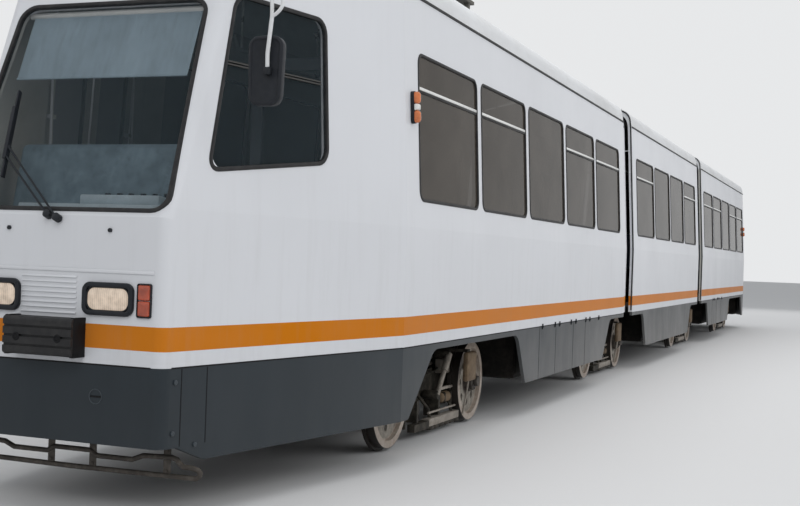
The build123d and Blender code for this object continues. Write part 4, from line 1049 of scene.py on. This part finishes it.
# The livery with the skirt's grey at the foot and a pane laid out from the middle of the door
def door_coat(name, door_spot):
    made = livery_coat(name, 0.25)
    tree = made.node_tree
    spot = shade_node(tree, "TexCoord").outputs["Object"]
    offset = shade_node(tree, "VectorMath", _0=spot, _1=door_spot.translation)
    offset.operation = "SUBTRACT"
    across = shade_node(tree, "VectorMath", _0=offset.outputs[0], _1=door_spot.col[0].xyz)
    across.operation = "DOT_PRODUCT"
    height = part_of(tree, spot, "Z")
    off_centre = sums(tree, "SUBTRACT", sums(tree, "ABSOLUTE", across.outputs["Value"]), leaf_middle)
    in_width = sums(tree, "LESS_THAN", sums(tree, "ABSOLUTE", off_centre), pane_half)
    off_height = sums(tree, "ABSOLUTE", sums(tree, "SUBTRACT", height, pane_middle))
    pane = sums(tree, "MULTIPLY", in_width, sums(tree, "LESS_THAN", off_height, pane_tall / 2))
    painted = sums(tree, "SUBTRACT", 1.0, pane)
    # Seen from inside, the pane is made opaque and painted a flat grey as the daylight through it
    painted_daylight_pane = sums(tree, "MULTIPLY", pane, seen_inside(tree))
    foot = sums(tree, "LESS_THAN", height, sill)
    paint = blend_colour(tree, foot, fed_by(tree, "Base Color"), tone(skirt_grey, 1.6))
    paint = blend_colour(tree, pane, paint, door_glass)
    clear_pane = sums(tree, "SUBTRACT", pane, painted_daylight_pane)
    lay_skin(tree, Base_Color=blend_colour(tree, painted_daylight_pane, paint, painted_daylight_grey),
             Roughness=sums(tree, "MULTIPLY_ADD", painted, fed_by(tree, "Roughness"), 0.04),
             Alpha=sums(tree, "MULTIPLY_ADD", clear_pane, glass_clear, 1.0))
    peel = fed_by(tree, "Normal").node
    waves = peel.inputs["Normal"].links[0].from_node
    for bump, strength in ((peel, 0.3), (waves, 0.35)):
        plug(tree, bump, {"Strength": sums(tree, "MULTIPLY", painted, strength)})
    return made


doors = ((None, None), ("a", 2), ("b", 1), ("b", 2), ("c", 1))
for index, (car, module) in enumerate(doors, 1):
    place, upright = (module_x(car, module), wall_place) if car else (front_door_along, taper_place)
    spot = upright(place, 0.0, -1)
    for word in ("front", "rear"):
        body = "door_%d_%s" % (index, word)
        low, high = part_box(body)
        leaf_off = (low[0] + high[0]) / 2 - spot.translation.x
        way = 1 if spot.col[0].x * leaf_off > 0 else -1
        repaint(nodes[body], door_coat(body + "_paint", spot))
        # The rubbers are laid out on the upper wall, from the height of the pane's middle
        along = spot.translation.x if car else front_door_along
        leaf = upright(along, pane_middle, -1) @ moved(way * leaf_middle, 0, 0)
        ring = gasket(box_corners(2 * pane_half + 0.02, pane_tall + 0.02), 0.085, 0.022, 0.006, 0.010)
        edge = plank((-0.006, door_low - pane_middle + 0.01, -0.022),
                     (0.006, door_high - pane_middle - 0.01, 0.004), 0.004)
        rubbers = [place_by(ring, leaf), place_by(edge, leaf @ moved(way * (0.018 - leaf_middle), 0, 0))]
        finish(body + "_rubbers", rubbers, rubber, body, 50)


# Seats: moulded blue grey shells on square steel pedestals, doubles on the left and singles on the
# right. The driver has a shell of the same kind.
seat_plastic = coat("seat_shell", (0.070, 0.105, 0.165), 0.45, cloud=0.10, patch=6, soil=(0.16, 0.15, 0.13),
                    soiled=0.15)
seat_profile = ((0.215, 1.372), (0.222, 1.396), (0.190, 1.402), (0.060, 1.386), (-0.080, 1.384),
                (-0.140, 1.400), (-0.172, 1.455), (-0.186, 1.600), (-0.200, 1.760), (-0.208, 1.850),
                (-0.214, 1.862))
last_row, back_row = len(seat_profile) - 1, 5


def seat_shell(width, places):
    bpy.ops.mesh.primitive_grid_add(x_subdivisions=last_row, y_subdivisions=4 * places, size=1)
    shell = bpy.context.object
    for vertex in shell.data.vertices:
        row = round((vertex.co.x + 0.5) * last_row)
        across = vertex.co.y * 2
        x, z = seat_profile[row]
        hollow = 0.5 - 0.5 * math.cos(2 * math.pi * places * (vertex.co.y + 0.5))
        curl = abs(across) ** 6
        rounded_corner = 0.05 * curl if row >= last_row - 1 or row < 2 else 0
        if row < back_row:
            vertex.co = (x - rounded_corner, across * width / 2, z - 0.014 * hollow + 0.012 * curl)
        else:
            vertex.co = (x - 0.016 * hollow, across * width / 2, z - rounded_corner)
    alone(shell)
    made = shell.modifiers.new("thickness", "SOLIDIFY")
    made.thickness = 0.014
    made.offset = -1
    bpy.ops.object.modifier_apply(modifier="thickness")
    made = shell.modifiers.new("smooth", "SUBSURF")
    made.levels = made.render_levels = 1
    bpy.ops.object.modifier_apply(modifier="smooth")
    bpy.ops.object.mode_set(mode="EDIT")
    bpy.ops.mesh.select_all(action="SELECT")
    bpy.ops.mesh.normals_make_consistent(inside=False)
    bpy.ops.object.mode_set(mode="OBJECT")
    return shell


def seat_legs(width):
    post = plank((-0.035, -0.035, 0.932), (0.035, 0.035, 1.340))
    foot = plank((-0.075, -0.075, 0.932), (0.075, 0.075, 0.944))
    rail = plank((-0.12, -width * 0.40, 1.335), (0.14, width * 0.40, 1.362))
    return soften(join("legs", [post, foot, rail]), 0.005, 1)


double_seat = (seat_shell(0.86, 2), seat_legs(0.86))
single_seat = (seat_shell(0.43, 1), seat_legs(0.43))
for car in "abc":
    shells, legs = [], []
    for module in range(window_counts[car]):
        for x in (module_x(car, module) - 0.358, module_x(car, module) + 0.358):
            if min(abs(x - place) for place in bogie_places) < 1.53:
                continue
            rows = [(double_seat, 0.58)] + ([] if module in door_modules[car] else [(single_seat, -0.79)])
            for (shell, leg), y in rows:
                shells.append(copy_of(shell, moved(x, y, 0)))
                legs.append(copy_of(leg, moved(x, y, 0)))
    shell_set = finish(car + "_seat_shells", shells, seat_plastic, "car_" + car, 60)
    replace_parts(shell_set, car + "_seats")
    finish(car + "_seat_legs", legs, black_plastic, "car_" + car)
driver_shell, driver_legs = (copy_of(part, moved(at(1150), 0.24, 0)) for part in single_seat)
finish("driver_seat_shell", [driver_shell], seat_plastic, "car_a", 60)
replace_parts(driver_shell, "driver_seat")
finish("driver_seat_legs", [driver_legs], black_plastic, "car_a")
drop(*double_seat, *single_seat)


# Handrails: steel tubes along the ceiling on both sides of the aisle, hung from short stays.
rail_ends = {"a": (3.75, 10.40), "b": (-3.10, 1.50), "c": (-11.90, -5.35)}
rail_low, rail_high, ceiling = 2.90, 2.98, 3.40
handrail_steel = coat("handrail_steel", (0.55, 0.55, 0.53), 0.28, metallic=0.6, cloud=0.06, patch=6)
for car, (rear, front) in rail_ends.items():
    rails = []
    for y in (-0.36, 0.30):
        rails.append(tube([(rear, y, rail_high), (rear + 0.06, y, rail_low), (front - 0.06, y, rail_low),
                           (front, y, rail_high)], 0.016, sides=3))
        count = round((front - rear) / 1.3)
        for index in range(count + 1):
            x = rear + 0.12 + (front - rear - 0.24) * index / count
            rails.append(tube([(x, y, rail_low), (x, y, ceiling)], 0.010))
    finish(car + "_handrails", rails, handrail_steel, "car_" + car, 50)


# Cab: pale blue grey desk with a console of plain switches, a brake lever and a padded hood, and a
# glazed wall of thin steel sheet behind the driver.
cab_grey = coat("cab_lining", (0.42, 0.50, 0.54), 0.5, cloud=0.10, patch=4, soil=(0.15, 0.14, 0.12),
                soiled=0.2)
cab_wall = coat("cab_wall", (0.11, 0.12, 0.14), 0.5, cloud=0.10, patch=3, soil=(0.10, 0.09, 0.08), soiled=0.2)
hood_grey = coat("instrument_hood", (0.175, 0.235, 0.275), 0.6, cloud=0.25, patch=7, soil=(0.07, 0.09, 0.10),
                 soiled=0.5, specular=0.2)
repaint(nodes["driver_desk"], cab_grey)
repaint(nodes["cab_partition"], cab_wall)
desk_low, desk_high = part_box("driver_desk")
desk_back, desk_front, desk_top = desk_low[0], desk_high[0], desk_high[2]
console = plank((desk_back + 0.04, 0.02, desk_top), (desk_front - 0.12, 0.52, desk_top + 0.055))
for vertex in console.data.vertices:
    if vertex.co.z > desk_top + 0.03 and vertex.co.x < (desk_back + desk_front) / 2:
        vertex.co.z -= 0.035
finish("desk_console", [console], cab_grey, "car_a", edge=(0.010, 2))
switches = []
for row in range(2):
    for column in range(6):
        x, y, z = desk_back + 0.12 + row * 0.09, 0.08 + column * 0.076, desk_top + 0.030 + row * 0.010
        switches.append(plank((x - 0.014, y - 0.012, z), (x + 0.014, y + 0.012, z + 0.032), 0.004))
lever = [(desk_back + 0.10, 0.46, desk_top + 0.03), (desk_back + 0.07, 0.46, desk_top + 0.16)]
switches.append(tube(lever, 0.010))
hood_back, hood_top = 12.300, 1.995
hood = plank((hood_back, -0.600, desk_top - 0.06), (hood_back + 0.190, 0.600, hood_top))
for vertex in hood.data.vertices:
    if vertex.co.z > 1.8 and vertex.co.x > hood_back + 0.1:
        vertex.co.x -= 0.090
finish("instrument_hood", [hood], hood_grey, "car_a", 50, edge=(0.035, 4))
finish("desk_switches", switches, black_plastic, "car_a")


# Roller blind: a rectangular sheet of blue grey coated cloth, let down inside the upper part of the
# windscreen from a roller, with a light batten sewn into its foot.
blind_foot, blind_head, blind_half, blind_gap = 0.850, 1.262, 0.560, 0.050
blind_drop = blind_head - blind_foot
bpy.ops.mesh.primitive_grid_add(x_subdivisions=24, y_subdivisions=12, size=1)
blind = bpy.context.object
for vertex in blind.data.vertices:
    across, up = vertex.co.x * 2 * blind_half, (vertex.co.y + 0.5) * blind_drop
    vertex.co = (across, up - blind_drop / 2, 0.0025 * math.sin(across * 17) * (1 - up / blind_drop))
place_by(blind, screen_place(0, (blind_foot + blind_head) / 2, 1, -blind_gap))
cloth = coat("blind_cloth", (0.34, 0.43, 0.49), 0.8, cloud=0.10, patch=2.2, relief=0.0006, grain=700,
             soil=(0.12, 0.13, 0.13), soiled=0.25, stretch=(1, 3, 0.6), specular=0.1)
finish("roller_blind", [blind], cloth, "car_a", 60)
hem = tube([on_glass((y, blind_foot), -blind_gap) for y in (-blind_half, blind_half)], 0.007)
roller_half = blind_half + 0.03
roller = tube([on_glass((y, blind_head), -blind_gap - 0.004) for y in (-roller_half, roller_half)], 0.018,
              sides=3)
finish("blind_batten", [hem], cloth, "car_a", 60)
finish("blind_roller", [roller], bright, "car_a", 60)


# Destination box: a blank black glass panel in a rubber profile above the windscreen, left dark.
sign_width, sign_tall = 1.040, 0.230
sign_spot = screen_place(0, 1.520)
dark_panel = coat("dark_panel", (0.012, 0.012, 0.013), 0.10, cloud=0.3, patch=3, relief=0.00005)
sign = place_by(domed(sign_width, sign_tall, 0.03, 0.006), sign_spot)
finish("destination_panel", [sign], dark_panel, "car_a", 50)
sign_ring = place_by(gasket(box_corners(sign_width + 0.02, sign_tall + 0.02), 0.038, 0.018, 0.010), sign_spot)
finish("destination_rubber", [sign_ring], rubber, "car_a")


# Tail lamps: a red lens beside an amber one in a black housing on each side of the rear panel, with a
# round red reflector outside.
tail_y, reflector_y, reflector_z = 0.560, 0.700, 1.060
housings, reds, ambers = [], [], []
for side in (1, -1):
    spot = end_place(side * tail_y, lamp_z, -1)
    housings.append(place_by(domed(0.240, 0.165, 0.022, 0.010, 0.006), spot @ moved(0, 0, 0.004)))
    for shift, group in ((-0.055, reds), (0.055, ambers)):
        lens = domed(0.100, 0.140, 0.016, 0.014)
        group.append(place_by(lens, spot @ moved(shift * side, 0, 0.010)))
    reflector = soften(disc(24, 0.034, 0.010), 0.003)
    reds.append(place_by(reflector, end_place(side * reflector_y, reflector_z, -1, 0.004)))
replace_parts(finish("tail_lamp_housings", housings, black_plastic, "car_c", 50), "tail_lamps")
finish("tail_red_lenses", reds, lens_coat("tail_red", (0.30, 0.012, 0.008)), "car_c", 50)
finish("tail_amber_lenses", ambers, amber, "car_c", 50)


# Roof: smooth painted sheet with low ventilator hoods along the middle, ribbed walkway boards beside
# the current collector, a lifting eye at each corner and a conduit to the fuse box.
crown = 3.560
vent_places = {"a": (7.9, 5.4, 3.9), "b": (1.1, -2.6), "c": (-6.2, -8.6, -11.0)}
hood = panelled(plank((-0.36, -0.28, 0.0), (0.36, 0.28, 0.095)), lambda normal: normal.z > 0.9, (0.06, 0.0),
                (0.04, 0.022))
for vertex in hood.data.vertices:
    if vertex.co.z > 0.05:
        vertex.co.x *= 0.90
        vertex.co.y *= 0.86
soften(hood, 0.012, 2, 20)
slots = [plank((x - 0.03, y - 0.008, 0.026), (x + 0.03, y + 0.008, 0.040))
         for y in (0.272, -0.272) for x in (-0.27, -0.18, -0.09, 0.0, 0.09, 0.18, 0.27)]
slot_set = join("hood_slots", slots)
for car, places in vent_places.items():
    hoods = [copy_of(hood, moved(x, 0, crown - 0.022)) for x in places]
    slots = [copy_of(slot_set, moved(x, 0, crown - 0.004)) for x in places]
    finish(car + "_roof_hoods", hoods, roof_paint, "car_" + car)
    finish(car + "_roof_slots", slots, shadow_line, "car_" + car)

planks = [plank((-0.55, -0.15, 0.0), (0.55, 0.15, 0.028))]
for index in range(9):
    y = -0.132 + index * 0.033
    planks.append(plank((-0.53, y - 0.006, 0.028), (0.53, y + 0.006, 0.036)))
for x in (-0.45, 0, 0.45):
    planks += [plank((x - 0.02, y - 0.02, -0.055), (x + 0.02, y + 0.02, 0.002)) for y in (-0.12, 0.12)]
board = soften(join("board", planks), 0.002, 1)
timber = coat("walkway_boards", (0.11, 0.105, 0.095), 0.75, cloud=0.2, patch=5, stretch=(0.5, 8, 8),
              soil=(0.20, 0.19, 0.17), soiled=0.4, specular=0.2)
boards = [copy_of(board, moved(x, y, crown + 0.028)) for y in (0.62, -0.62) for x in (8.85, 10.03)]
finish("walkway_boards", boards, timber, "car_a")
drop(hood, slot_set, board)

eye_places = {"a": (11.6, 3.4), "b": (1.9, -3.5), "c": (-5.0, -11.9)}
eye_line = ((-0.05, 3.452), (-0.04, 3.515), (0.04, 3.515), (0.05, 3.452))
for car, places in eye_places.items():
    loops = []
    for x in places:
        for y in (0.78, -0.78):
            loop = [(x + along, y, z) for along, z in eye_line]
            loops.append(tube(loop, 0.009, round_line=True))
            loops.append(plank((x - 0.08, y - 0.03, 3.455), (x + 0.08, y + 0.03, 3.482), 0.004))
    finish(car + "_lifting_eyes", loops, roof_paint, "car_" + car, 50)
fuse_grey = coat("fuse_box_grey", (0.22, 0.225, 0.23), 0.45, cloud=0.12, patch=6, soil=(0.12, 0.11, 0.10),
                 soiled=0.35)
fuse_box = plank((8.62, -0.17, crown - 0.01), (8.98, 0.17, crown + 0.16), 0.02, 3)
fuse_lid = plank((8.60, -0.19, crown + 0.115), (9.00, 0.19, crown + 0.135), 0.006)
conduit = tube([(9.56, -0.24, crown + 0.12), (9.40, -0.24, crown + 0.04), (9.12, -0.10, crown + 0.04),
                (8.96, -0.06, crown + 0.05)], 0.016, round_line=True)
finish("roof_fuse_box", [fuse_box, fuse_lid, conduit], fuse_grey, "car_a", 45)


# Current collector: a half pantograph of steel tube on four brown ribbed insulators, raised by a pair
# of springs. The head has two copper brown strips with horns.
spring_z = 3.735
collector_red = coat("collector_paint", (0.20, 0.035, 0.022), 0.45, cloud=0.15, patch=6,
                     soil=(0.06, 0.05, 0.045), soiled=0.45)
collector_steel = coat("collector_steel", (0.30, 0.29, 0.27), 0.4, metallic=0.6, cloud=0.15, patch=9,
                       soil=(0.08, 0.06, 0.05), soiled=0.45)
porcelain = coat("brown_porcelain", (0.075, 0.022, 0.012), 0.12, cloud=0.1, patch=9, soil=(0.10, 0.09, 0.08),
                 soiled=0.3)
copper = coat("contact_strip", (0.10, 0.060, 0.040), 0.35, metallic=0.5, cloud=0.2, patch=14)
for name in ("collector_base", "collector_lower_arm", "collector_upper_arm"):
    repaint(nodes[name], collector_red)
repaint(nodes["collector_head"], collector_steel)
sheds = [disc(20, 0.042, 0.100, (0, 0, 0.050))]
for index in range(4):
    bpy.ops.mesh.primitive_cone_add(vertices=20, radius1=0.068, radius2=0.044, depth=0.016,
                                    location=(0, 0, 0.020 + index * 0.021))
    sheds.append(bpy.context.object)
insulator = soften(join("insulator", sheds), 0.002, 1)
base_low, base_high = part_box("collector_base")
insulators = []
for x in (base_low[0] + 0.10, base_high[0] - 0.10):
    for y in (base_low[1] + 0.06, base_high[1] - 0.06):
        insulators.append(copy_of(insulator, moved(x, y, crown)))
drop(insulator)
finish("collector_insulators", insulators, porcelain, "car_a", 50)
springs = []
for y in (-0.11, 0.11):
    springs.append(coil((9.62, y, spring_z), (10.24, y, spring_z), 0.020, 0.004, 14, 10, (0, 1, 0),
                        (0, 0, 1)))
    for rear, front in ((9.53, 9.63), (10.23, 10.40)):
        springs.append(tube([(rear, y, spring_z), (front, y, spring_z)], 0.007))
finish("collector_springs", springs, collector_steel, "car_a", 50)
head_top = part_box("collector_head")[1][2]
strips = [plank((x - 0.002, -0.50, head_top - 0.012), (x + 0.036, 0.50, head_top + 0.002), 0.003)
          for x in (10.350, 10.616)]
finish("contact_strips", strips, copper, "collector_head")
